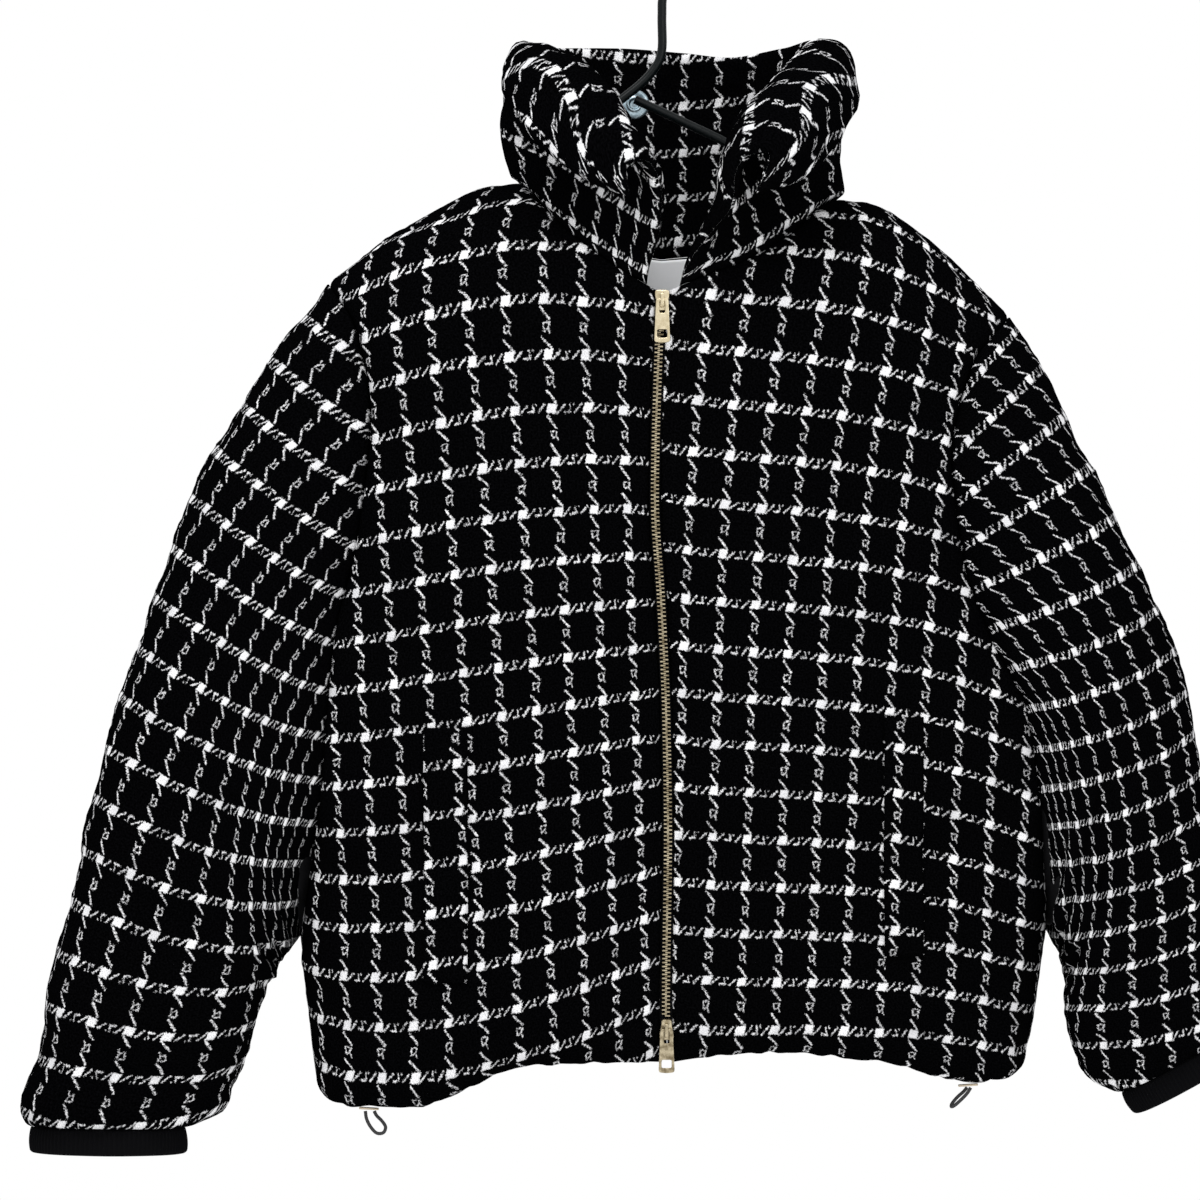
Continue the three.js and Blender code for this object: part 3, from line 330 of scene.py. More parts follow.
def pillow(outer, inner, low=5.0, high=5.0, first=5.0, last=5.0):
    """Rounds a wall's four edges: both skins come together over these radii."""
    middle = (outer + inner) / 2
    down, up = runs(middle, 0)
    left, right = runs(middle, 1)
    thick = 0.03 + 0.97 * np.minimum.reduce([
        rounded(distance / radius) if radius else np.ones_like(distance)
        for distance, radius in ((down, low), (up, high), (left, first), (right, last))
    ])[..., None]
    return middle + (outer - middle) * thick, middle + (inner - middle) * thick


def facing(grid, towards, ring=False):
    """Unit normals of a grid, turned to the side that "towards" gives at each point."""
    if ring:
        grid = np.concatenate([grid[:, -1:], grid, grid[:, :1]], 1)
    normal = np.cross(np.gradient(grid, axis=0), np.gradient(grid, axis=1))
    if ring:
        normal = normal[:, 1:-1]
    normal /= np.maximum(np.linalg.norm(normal, axis=-1, keepdims=True), 1e-9)
    return normal * np.where((normal * towards).sum(-1, keepdims=True) < 0, -1, 1)


def ripple(points, size, seed):
    """Smooth unevenness in space, about -1 to 1, with waves about size mm long."""
    random = np.random.default_rng(seed)
    total = np.zeros(points.shape[:-1])
    for _ in range(14):
        way = random.normal(size=3)
        way /= np.linalg.norm(way)
        wave = size * random.uniform(0.7, 1.5)
        total += np.sin(points @ way * (2 * math.pi / wave) + random.uniform(0, 2 * math.pi))
    return total / 3.7


def crease(points, ends, width, depth, taper=0.3):
    """A soft trough (depth below 0) or ridge from end to end, each end (x, z), fading at its tips."""
    a, b = np.array(ends[:2], float), np.array(ends[2:], float)
    way = b - a
    length = np.linalg.norm(way)
    from_a = points[..., (0, 2)] - a
    share = from_a @ way / length ** 2
    beside = (from_a[..., 0] * way[1] - from_a[..., 1] * way[0]) / length
    inside = np.clip(np.minimum(share, 1 - share) / taper + 0.5, 0, 1)
    return depth * np.exp(-(beside / width) ** 2) * inside ** 2 * (3 - 2 * inside)


def grain_terms(x, z, power):
    x, z = np.asarray(x, float) / 200, (np.asarray(z, float) + 500) / 250
    return np.stack([x ** a * z ** b for a in range(power + 1) for b in range(power + 1 - a)], -1)


def grain(table, power=3):
    """How the check lies on a panel: a function from places to its counts of columns and rows."""
    rows = [(x, z, row) for row, heights in table["rows"].items() for x, z in zip(table["x"], heights)]
    columns = [(x, z, column) for column, outs in table["columns"].items() for z, x in zip(table["z"], outs)]
    fits = []
    for known in (np.array(columns, float), np.array(rows, float)):
        fits.append(np.linalg.lstsq(grain_terms(known[:, 0], known[:, 1], power), known[:, 2], rcond=None)[0])

    def lay(points):
        terms = grain_terms(points[..., 0], points[..., 2], power)
        return terms @ fits[0], terms @ fits[1]

    return lay


COLUMN_PITCH = 23.3         # of the check's lines, along the cloth
ROW_PITCH = 31.5


def carried(count, grid, axis, start, pitch):
    """The same count, but where the surface turns away it goes on with the distance walked in y."""
    step = np.diff(count, axis=axis)
    depth = np.diff(grid[..., 1], axis=axis) / pitch
    sign = np.sign(np.median(step))
    step = sign * np.hypot(np.maximum(sign * step, 0), depth)
    total = np.concatenate([np.zeros_like(np.take(step, [0], axis)), np.cumsum(step, axis)], axis)
    return total - np.take(total, [start], axis) + np.take(count, [start], axis)


def cloth_mesh(name, outer, inner, weave, inner_weave=None, ring=False):
    """A closed wall from two grids in mm. weave holds the check's counts at each outer point; a ring
    has one column more of them. Its second finish is for the inner skin."""
    rows, columns = outer.shape[:2]
    spans = columns if ring else columns - 1
    number = np.arange(2 * rows * columns).reshape(2, rows, columns)
    number = np.concatenate([number, number[:, :, :1]], 2) if ring else number
    counts = [weave, weave if inner_weave is None else inner_weave]

    def quads(corners):
        faces = np.stack([number[s, r, c].ravel() for s, r, c in corners], -1)
        places = np.stack([counts[s][r, c].reshape(-1, 2) for s, r, c in corners], 1)
        return faces, places

    lo_r, hi_r = slice(0, rows - 1), slice(1, rows)
    lo_c, hi_c = slice(0, spans), slice(1, spans + 1)
    parts = [
        quads([(0, lo_r, lo_c), (0, lo_r, hi_c), (0, hi_r, hi_c), (0, hi_r, lo_c)]),
        quads([(1, lo_r, lo_c), (1, hi_r, lo_c), (1, hi_r, hi_c), (1, lo_r, hi_c)]),
        quads([(0, 0, lo_c), (1, 0, lo_c), (1, 0, hi_c), (0, 0, hi_c)]),
        quads([(0, rows - 1, hi_c), (1, rows - 1, hi_c), (1, rows - 1, lo_c), (0, rows - 1, lo_c)]),
    ]
    if not ring:
        parts.append(quads([(0, hi_r, 0), (1, hi_r, 0), (1, lo_r, 0), (0, lo_r, 0)]))
        parts.append(quads([(0, lo_r, spans), (1, lo_r, spans), (1, hi_r, spans), (0, hi_r, spans)]))
    faces = np.concatenate([p[0] for p in parts])
    places = np.concatenate([p[1] for p in parts])
    points = np.concatenate([outer.reshape(-1, 3), inner.reshape(-1, 3)]) * MM
    a, b, c, d = (points[faces[:, k]] for k in range(4))
    if (np.cross(c - a, d - b) * (a + b + c + d)).sum() < 0:
        faces, places = faces[:, ::-1], places[:, ::-1]
    mesh = bpy.data.meshes.new(name)
    mesh.from_pydata(points.tolist(), [], faces.tolist())
    mesh.uv_layers.new(name="weave").data.foreach_set("uv", np.ascontiguousarray(places, float).ravel())
    skin = np.zeros(len(faces), int)
    skin[len(parts[0][0]):len(parts[0][0]) + len(parts[1][0])] = 1
    mesh.polygons.foreach_set("material_index", skin.tolist())
    mesh.shade_smooth()
    mesh.update()
    piece = bpy.data.objects.new(name, mesh)
    bpy.context.collection.objects.link(piece)
    return piece


# The check's chart, in mm within one repeat of 24.5 by 32.5, from the middle of a block, to the
# right and down: each float of white yarn from end to end, and its thickness.
REPEAT = (24.5, 32.5)
BLOCK = (3.0, 0.25)         # half width and how far it leans
ACROSS_FLOATS = [
    (3.1, 2.7, 8.2, -2.5, 1.4), (8.8, 2.0, 12.2, 1.8, 1.9), (12.2, 1.0, 11.8, -2.6, 1.1),
    (14.2, -2.7, 14.3, -2.3, 1.3), (15.6, 2.3, 19.9, -2.3, 1.5),
]
DOWN_FLOATS = [
    (-2.9, 4.8, 2.5, 11.7, 1.8), (-2.0, 14.4, -1.4, 18.4, 1.1), (-1.8, 14.0, 1.0, 13.7, 1.1),
    (2.3, 14.0, 1.3, 17.0, 1.3), (-1.0, 18.6, 0.6, 17.4, 1.0), (1.6, 18.0, 2.2, 20.0, 1.1),
    (-3.0, 22.2, 2.6, 28.8, 1.8),
]


def float_group():
    """Node group: how much of one float of yarn covers a place, from 0 to 1."""
    group = bpy.data.node_groups.new("yarn_float", "ShaderNodeTree")
    for name, kind, direction in (
        ("Place", "NodeSocketVector", "INPUT"), ("From", "NodeSocketVector", "INPUT"),
        ("Run", "NodeSocketVector", "INPUT"), ("One Over Length Squared", "NodeSocketFloat", "INPUT"),
        ("Half Width", "NodeSocketFloat", "INPUT"), ("Cover", "NodeSocketFloat", "OUTPUT"),
    ):
        group.interface.new_socket(name=name, in_out=direction, socket_type=kind)
    inside, outside = group.nodes.new("NodeGroupInput"), group.nodes.new("NodeGroupOutput")

    def vector(operation, *values, result=0):
        made = group.nodes.new("ShaderNodeVectorMath")
        made.operation = operation
        for index, value in values:
            group.links.new(value, made.inputs[index])
        return made.outputs[result]

    def number(operation, *values, clamp=False):
        made = group.nodes.new("ShaderNodeMath")
        made.operation, made.use_clamp = operation, clamp
        for index, value in enumerate(values):
            if isinstance(value, float):
                made.inputs[index].default_value = value
            else:
                group.links.new(value, made.inputs[index])
        return made.outputs[0]

    place_in, start, way, shrink, half = inside.outputs[:5]
    away = vector("SUBTRACT", (0, place_in), (1, start))
    share = number("MULTIPLY", vector("DOT_PRODUCT", (0, away), (1, way), result=1), shrink, clamp=True)
    nearest = vector("SCALE", (0, way), (3, share))
    distance = vector("LENGTH", (0, vector("SUBTRACT", (0, away), (1, nearest))), result=1)
    inwards = number("MULTIPLY_ADD", number("SUBTRACT", half, distance), 2.2, 0.5, clamp=True)
    group.links.new(inwards, outside.inputs[0])
    return group


yarn_float = float_group()


def tweed(name, turned=False):
    """Black boucle tweed with a white windowpane check of floats, from the weave map's counts."""
    material, node, give = finish(name, Roughness=1.0, Specular_IOR_Level=0.0)
    tree = material.node_tree

    def number(operation, *values, clamp=False):
        return node("Math", *values, operation=operation, use_clamp=clamp)

    counts = node("UVMap", uv_map="weave")
    way = -1.0 if turned else 1.0
    cloth = node("VectorMath", counts, (way * REPEAT[0], way * REPEAT[1], 0), operation="MULTIPLY")
    drift = node("TexNoise", cloth, None, 0.06, 1.0, result=1, noise_dimensions="2D")
    fuzz = node("TexNoise", cloth, None, 0.9, 2.0, result=1, noise_dimensions="2D")
    off = node("VectorMath", drift, (0.5, 0.5, 0.5), operation="SUBTRACT")
    off_fuzz = node("VectorMath", fuzz, (0.5, 0.5, 0.5), operation="SUBTRACT")
    moved = node("VectorMath", cloth, node("VectorMath", off, None, None, 3.0, operation="SCALE"),
                 operation="ADD")
    moved = node("VectorMath", moved, node("VectorMath", off_fuzz, None, None, 2.5, operation="SCALE"),
                 operation="ADD")
    apart = tree.nodes.new("ShaderNodeSeparateXYZ")
    tree.links.new(moved, apart.inputs[0])
    right, down = apart.outputs[0], apart.outputs[1]

    def within(value, size, centred):
        if centred:
            return number("SUBTRACT", number("MODULO", number("ADD", value, 400.5 * size), size), size / 2)
        return number("MODULO", number("ADD", value, 400.0 * size), size)

    right_c, down_c = within(right, REPEAT[0], True), within(down, REPEAT[1], True)
    along_row = node("CombineXYZ", within(right, REPEAT[0], False), down_c, 0.0)
    along_column = node("CombineXYZ", right_c, within(down, REPEAT[1], False), 0.0)
    lean = number("ABSOLUTE", number("MULTIPLY_ADD", down_c, BLOCK[1], right_c))
    reach = number("MAXIMUM", lean, number("ABSOLUTE", down_c))
    cover = number("MULTIPLY_ADD", number("SUBTRACT", BLOCK[0], reach), 2.2, 0.5, clamp=True)
    block, cover = cover, 0.0
    for floats, at in ((ACROSS_FLOATS, along_row), (DOWN_FLOATS, along_column)):
        for x0, y0, x1, y1, thick in floats:
            made = tree.nodes.new("ShaderNodeGroup")
            made.node_tree = yarn_float
            tree.links.new(at, made.inputs["Place"])
            made.inputs["From"].default_value = (x0, y0, 0)
            made.inputs["Run"].default_value = (x1 - x0, y1 - y0, 0)
            made.inputs["One Over Length Squared"].default_value = 1 / ((x1 - x0) ** 2 + (y1 - y0) ** 2)
            made.inputs["Half Width"].default_value = 0.35 * thick
            cover = number("MAXIMUM", cover, made.outputs["Cover"])

    worn = node("TexNoise", cloth, None, 0.55, 3.0, 0.7, noise_dimensions="2D")
    cover = number("MULTIPLY", cover, node("MapRange", worn, 0.37, 0.52, 0.1, 1.0))
    cover = number("MAXIMUM", cover, block)
    nub = node("TexNoise", cloth, None, 0.75, 3.0, 0.6, noise_dimensions="2D")
    ply = node("TexNoise", cloth, None, 1.6, 1.0, noise_dimensions="2D")
    ground = node("MapRange", nub, 0.35, 0.8, 0.0, 1.0)
    black = node("Mix", ground, None, None, None, None, None, (0.0003, 0.0003, 0.0004, 1),
                 (0.0022, 0.0022, 0.0026, 1), result=2, data_type="RGBA")
    yarn = node("MapRange", ply, 0.3, 0.7, 0.0, 1.0)
    # Painted shade: broad noise patches dim the white floats by up to half, standing in for uneven light and
    # shade over the cloth's folds.
    painted_shade_patches = node("TexNoise", cloth, None, 0.045, 2.0, noise_dimensions="2D")
    yarn = number("MULTIPLY", yarn, node("MapRange", painted_shade_patches, 0.38, 0.6, 0.5, 1.0))
    white = node("Mix", yarn, None, None, None, None, None, (0.42, 0.42, 0.44, 1), (0.95, 0.95, 0.95, 1),
                 result=2, data_type="RGBA")
    colour = node("Mix", cover, None, None, None, None, None, black, white, result=2, data_type="RGBA")
    give("Base Color", colour)
    relief = number("MULTIPLY_ADD", cover, 1.3, number("ADD", nub, number("MULTIPLY", ply, 0.4)))
    give("Normal", node("Bump", 0.7, 0.0006, 1.0, relief))
    return material


def lining_cloth():
    """Plain black lining of fine twill."""
    material, node, give = finish("lining", (0.0015, 0.0015, 0.002), Roughness=0.7, Specular_IOR_Level=0.12)
    twill = node("TexWave", None, 1400.0, 0.4, result=1, wave_type="BANDS", bands_direction="DIAGONAL")
    give("Normal", node("Bump", 0.25, 0.0002, 1.0, twill))
    return material


body_tweed = tweed("tweed")
lining = lining_cloth()

# Row heights and column places, in mm. Both tables are rounded output of a fitting program, except the left
# front's column 5, which was charted.
FRONT_GRAIN = {
    "left": grain({
        "x": [-10, -60, -110, -160, -205, -230],
        "rows": {
            -5: [-241, -233, -235, -245, -260, -270], -3: [-311, -306, -309, -318, -331, -339],
            -1: [-377, -375, -379, -388, -398, -405], 1: [-440, -441, -447, -455, -463, -468],
            3: [-500, -505, -512, -520, -527, -529], 5: [-559, -567, -576, -584, -589, -591],
            7: [-617, -629, -640, -649, -652, -652], 9: [-676, -692, -706, -714, -716, -715],
            11: [-736, -757, -773, -782, -783, -780],
        },
        "z": [-250, -350, -450, -550, -650, -750],
        "columns": {
            -5: [-245, -233, -224, -216, -212, -209], -3: [-205, -193, -183, -175, -169, -165],
            -1: [-156, -146, -137, -129, -122, -117], 1: [-104, -96, -88, -82, -76, -70],
            3: [-54, -48, -43, -38, -34, -29], 4: [-31, -27, -23, -20, -16, -12],
            5: [-6, -3, 0, 3, 6, 10],
        },
    }),
    "right": grain({
        "x": [20, 60, 110, 160, 205, 235],
        "rows": {
            -8: [-228, -232, -239, -250, -266, -282], -6: [-301, -305, -311, -321, -336, -351],
            -4: [-370, -373, -379, -387, -402, -415], -2: [-435, -439, -443, -451, -464, -477],
            0: [-499, -502, -505, -512, -524, -536], 2: [-561, -563, -566, -572, -583, -594],
            4: [-622, -625, -627, -632, -641, -652], 6: [-684, -687, -688, -692, -700, -710],
            8: [-748, -750, -751, -754, -761, -770],
        },
        "z": [-250, -350, -450, -550, -650, -750],
        "columns": {
            -4: [34, 22, 15, 12, 9, 3], -2: [84, 69, 62, 58, 55, 50], 0: [135, 117, 108, 103, 100, 96],
            2: [186, 165, 154, 148, 146, 142], 4: [238, 215, 201, 194, 191, 189],
            6: [292, 265, 250, 241, 238, 236],
        },
    }),
}
# Quilting seams across the fronts: height at the zip, halfway and at the side, and how deep each is.
FRONT_SEAMS = {
    "left": [(-352, -356, -364, 2.2), (-494, -497, -503, 2.6), (-622, -634, -645, 4.2)],
    "right": [(-352, -356, -366, 2.2), (-492, -494, -500, 2.6), (-622, -625, -636, 4.0)],
}
# Soft folds (ridges above 0, troughs below): from x, z to x, z, half width, height.
FRONT_FOLDS = {
    "left": [
        (-205, -330, -110, -420, 22, -3.5), (-222, -560, -150, -640, 20, -4.0),
        (-235, -700, -170, -740, 16, 3.5), (-60, -300, -90, -520, 30, 2.5), (-30, -560, -60, -760, 22, 2.5),
    ],
    "right": [
        (190, -340, 110, -430, 24, -3.5), (235, -600, 150, -650, 20, -4.0),
        (240, -700, 170, -730, 16, 3.0), (60, -320, 95, -540, 30, 2.5), (40, -560, 60, -760, 24, 2.5),
    ],
}


def quilted(points, seams, x_far):
    """How far the quilting seams pull a panel's cloth in."""
    total = 0
    share = np.clip(np.abs(points[..., 0]) / x_far, 0, 1)
    for near, middle, far, deep in seams:
        line = mix(mix(near, middle, np.minimum(1, 2 * share)), far, np.maximum(0, 2 * share - 1))
        line = line + 2.5 * ripple(points * (1, 0, 0), 70, 31)
        away = points[..., 2] - line
        total = total - deep * (0.45 * np.exp(-np.abs(away) / 5) + 0.55 * np.exp(-(away / 30) ** 2))
    return total


def puffed(outer, inner, normals, lift, to_seam):
    """Moves the outer skin by lift along its normals and the inner skin by a part of it. Beside a seam
    both skins move straight forward or back, so the pieces on its two sides stay together."""
    near = np.exp(-(to_seam / 14) ** 2)[..., None]
    straight = np.where(outer[..., 1:2] < 0, -1.0, 1.0) * (0, 1, 0)
    way = mix(normals, straight, near)
    lift = (lift * (1 - near[..., 0] * (1 - np.clip(np.abs(outer[..., 1]) / 12, 0, 1))))[..., None]
    return outer + way * lift, inner + way * mix(0.6, 1.0, near) * lift


def armhole_valley(away, share):
    """How far the armhole seam pulls the cloth in: share runs from the underarm to the shoulder."""
    open_part = np.clip(share / 0.12, 0, 1) * np.clip((1 - share) / 0.12, 0, 1)
    return open_part * (4.5 * np.exp(-(away / 11) ** 2) + 2.0 * np.exp(-(away / 32) ** 2))


def unevenness(points):
    return (1.6 * ripple(points, 130, 1) + 1.1 * ripple(points, 62, 2) + 0.45 * ripple(points, 24, 3)
            + 0.3 * ripple(points, 9, 4))


def hem_gathers(points, above):
    """Small upright gathers where the drawcord casing draws the hem in."""
    x = points[..., 0] + 6 * ripple(points * (1, 0, 0), 60, 41)
    wave = np.sin(x * 2 * math.pi / 21) + 0.6 * np.sin(x * 2 * math.pi / 13.7 + 1)
    casing = -1.6 * np.exp(-((above - 27) / 4) ** 2) + 1.4 * np.exp(-((above - 13) / 10) ** 2)
    return casing + 0.9 * wave * np.exp(-(above / 26) ** 2)


def torso_lift(points, seams, folds, x_far, above_hem, to_side, up):
    lift = quilted(points, seams, x_far)
    for x0, z0, x1, z1, width, height in folds:
        lift = lift + crease(points, (x0, z0, x1, z1), width, height)
    lift = lift * (1 - np.exp(-(to_side / 15) ** 2)) + unevenness(points) + hem_gathers(points, above_hem)
    return lift - armhole_valley(to_side, (up - CROTCH_AT) / (1 - CROTCH_AT))


def ease_edges(lift, distances, over=6.0):
    return lift * np.minimum.reduce([np.clip(d / over, 0, 1) for d in distances])


def sewn(piece, node_name):
    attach(piece, "jacket")
    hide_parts(node_name)


for half in ("left", "right"):
    across = evenly(lambda t: torso_point(half, -1, t, 0.5, 0), 3.1)
    up = evenly(lambda t: torso_point(half, -1, 0.4, t, 0), 3.1)
    grid = [torso_point(half, -1, across[None, :], up[:, None], inset) for inset in (0, WALL)]
    columns, rows = FRONT_GRAIN[half](grid[0])
    columns = carried(columns, grid[0], 1, 8, COLUMN_PITCH)
    rows = carried(rows, grid[0], 0, len(up) // 2, ROW_PITCH)
    from_middle, to_side = runs(grid[0], 1)
    above_hem, below_top = runs(grid[0], 0)
    lift = torso_lift(grid[0], FRONT_SEAMS[half], FRONT_FOLDS[half], 240, above_hem, to_side, up[:, None])
    lift = ease_edges(lift, (from_middle, below_top))
    outer, inner = puffed(*grid, facing(grid[0], (0, -1, 0)), lift, to_side)
    outer, inner = pillow(outer, inner, high=2.0, first=2.0, last=3.0)
    front = cloth_mesh(f"tweed_front_{half}", outer, inner, np.stack([columns, rows], -1))
    front.data.materials.append(body_tweed)
    front.data.materials.append(lining)
    sewn(front, f"front_{half}")

# ---- Back: one padded tweed panel, cut whole, sewn to the fronts at the sides and shoulders.
BACK_GRAIN = grain({
    "x": [-230, -160, -90, 0, 90, 160, 230],
    "rows": {
        -9: [-272, -249, -236, -231, -237, -252, -278], -5: [-400, -384, -374, -370, -376, -388, -410],
        -1: [-529, -518, -508, -504, -508, -518, -532], 3: [-652, -647, -639, -634, -638, -644, -652],
        7: [-772, -771, -763, -757, -760, -766, -772],
    },
    "z": [-250, -450, -600, -750],
    "columns": {
        10: [-240, -229, -222, -216], 5: [-120, -115, -112, -109], 0: [2, 1, 0, 0],
        -5: [122, 117, 113, 110], -10: [244, 233, 226, 220],
    },
})
BACK_SEAMS = [(-350, -354, -366, 2.6), (-492, -496, -504, 3.0), (-622, -628, -640, 4.0)]
BACK_FOLDS = [
    (-150, -250, -60, -300, 20, -4.0), (150, -260, 70, -310, 20, -4.0), (-215, -400, -120, -470, 24, -4.0),
    (220, -420, 120, -480, 22, -3.5), (-230, -650, -120, -600, 20, -4.5), (235, -660, 130, -610, 20, -4.0),
    (-60, -420, -80, -700, 34, 3.5), (60, -380, 80, -690, 34, 3.0), (0, -520, 10, -740, 26, -3.0),
]

across = evenly(lambda t: torso_point("right", 1, t, 0.5, 0), 3.4)
up = evenly(lambda t: torso_point("right", 1, 0.4, t, 0), 3.4)
across = np.r_[0, across[5:]]
grid = [np.concatenate([
    torso_point("left", 1, across[:0:-1][None, :], up[:, None], inset),
    torso_point("right", 1, across[None, :], up[:, None], inset),
], 1) for inset in (0, WALL)]
columns, rows = BACK_GRAIN(grid[0])
columns = carried(columns, grid[0], 1, len(across) - 1, COLUMN_PITCH)
rows = carried(rows, grid[0], 0, len(up) // 2, ROW_PITCH)
to_left, to_right = runs(grid[0], 1)
above_hem, below_top = runs(grid[0], 0)
to_side = np.minimum(to_left, to_right)
lift = torso_lift(grid[0], BACK_SEAMS, BACK_FOLDS, 240, above_hem, to_side, up[:, None])
lift = ease_edges(lift, (below_top,))
outer, inner = puffed(*grid, facing(grid[0], (0, 1, 0)), lift, to_side)
outer, inner = pillow(outer, inner, high=2.0, first=3.0, last=3.0)
back = cloth_mesh("tweed_back", outer, inner, np.stack([columns, rows], -1))
back.data.materials.append(body_tweed)
back.data.materials.append(lining)
sewn(back, "back")

# ---- Sleeves: each a padded tube of tweed, seamed along its inner edge and set into the armhole.
# Two soft quilting seams cross each of them, and the cloth breaks into folds inside the elbow.

# Row heights and column places, in mm. The left table is rounded output of a fitting program; the
# right one was written out from crossings that a program had found. Neither was charted by hand.
SLEEVE_GRAIN = {
    "left": grain({
        "x": [-400, -370, -340, -310, -280, -250, -225],
        "rows": {
            -8: [-173, -186, -204, -224, -247, -271, -291], -6: [-264, -279, -297, -317, -339, -361, -378],
            -4: [-350, -366, -384, -403, -423, -442, -456], -2: [-433, -448, -465, -483, -500, -515, -526],
            0: [-512, -527, -542, -557, -571, -582, -588], 2: [-590, -603, -616, -627, -636, -642, -643],
            4: [-665, -676, -685, -692, -696, -696, -691], 6: [-739, -746, -752, -754, -752, -745, -734],
            8: [-812, -816, -816, -813, -804, -789, -771],
        },
        "z": [-250, -350, -450, -550, -650, -750],
        "columns": {
            -5: [-219, -293, -343, -377, -403, -428], -3: [-164, -238, -289, -324, -351, -377],
            -1: [-117, -191, -241, -274, -299, -324], 1: [-76, -147, -194, -225, -247, -267],
        },
    }, 4),
    "right": grain({
        "x": [230, 260, 290, 320, 350, 380],
        "rows": {
            -12: [-332, -306, -280, -256, -232, -210], -10: [-418, -395, -371, -348, -322, -297],
            -8: [-480, -469, -455, -436, -414, -390], -6: [-543, -538, -529, -515, -496, -474],
            -4: [-594, -593, -587, -574, -556, -535], -2: [-641, -641, -637, -629, -614, -596],
            0: [-688, -687, -684, -677, -665, -650], 2: [-738, -738, -737, -735, -728, -717],
            4: [-788, -788, -788, -786, -779, -769],
        },
        "z": [-340, -420, -500, -580, -660, -740],
        "columns": {
            -1: [124, 187, 234, 255, 262, 263], 0: [150, 213, 260, 281, 285, 286],
            2: [202, 269, 309, 323, 328, 332], 4: [256, 319, 353, 365, 366, 370],
        },
    }, 4),
}
# Quilting seams: share along the sleeve at its inner and at its outer edge, and depth.
SLEEVE_SEAMS = {
    "left": [(0.36, 0.40, 2.4), (0.62, 0.66, 4.2), (0.905, 0.895, 4.8)],
    "right": [(0.34, 0.40, 2.6), (0.60, 0.66, 4.4), (0.87, 0.88, 4.4)],
}
# Folds: share along and turn round the ring (0 inner edge, 1 outer edge, 2 inner again) of both
# ends, half width and height in mm.
SLEEVE_FOLDS = {
    "left": [
        (0.10, 0.10, 0.34, 0.42, 14, -4.5), (0.30, 0.05, 0.44, 0.40, 12, -4.0),
        (0.44, 0.02, 0.52, 0.36, 12, -4.5), (0.56, 0.03, 0.50, 0.30, 14, 3.5),
        (0.20, 0.72, 0.46, 0.60, 26, 3.0), (0.70, 0.30, 0.88, 0.55, 18, 2.5),
        (0.12, 1.85, 0.36, 1.50, 15, -4.5), (0.34, 1.95, 0.50, 1.60, 13, -4.5),
        (0.52, 1.97, 0.60, 1.62, 13, -4.0), (0.25, 1.25, 0.55, 1.40, 26, 3.0),
        (0.70, 1.70, 0.86, 1.40, 18, 2.5), (0.02, 0.80, 0.20, 0.96, 18, -3.0),
    ],
    "right": [
        (0.08, 0.16, 0.26, 0.50, 14, -5.0), (0.24, 0.08, 0.40, 0.46, 12, -5.0),
        (0.42, 0.03, 0.50, 0.40, 12, -5.0), (0.52, 0.05, 0.56, 0.42, 11, -4.0),
        (0.50, 0.10, 0.46, 0.44, 12, 3.5), (0.16, 0.74, 0.40, 0.62, 24, 3.0),
        (0.70, 0.20, 0.80, 0.62, 16, -3.0), (0.10, 1.86, 0.30, 1.52, 15, -4.5),
        (0.32, 1.94, 0.48, 1.58, 13, -4.5), (0.50, 1.96, 0.58, 1.60, 13, -4.5),
        (0.24, 1.28, 0.52, 1.42, 26, 3.0), (0.03, 0.78, 0.18, 0.96, 18, -3.0),
    ],
}
SLEEVE_ROUND = 150.0        # round figures for half a sleeve's girth and for its length, which turn
SLEEVE_RUN = 520.0          # the folds' shares into mm
LEAST_SPREAD = 0.8          # the check's columns are never laid wider apart than their pitch over this


def ring_point(half, at, turn, inset):
    """A point of a sleeve's ring: turn 0 at its inner edge, 1 at the outer one, 2 inner again."""
    up = (1 - np.cos(math.pi * np.asarray(turn))) / 2
    face = np.where(np.asarray(turn) < 1, -1.0, 1.0)
    point = sleeve_point(half, at, up, face, inset)
    return point + np.asarray(SIDE[half] * SEAM_GAP / 2 * (1 - np.minimum(1, np.asarray(at) / 0.2)))[
        ..., None] * (1, 0, 0)


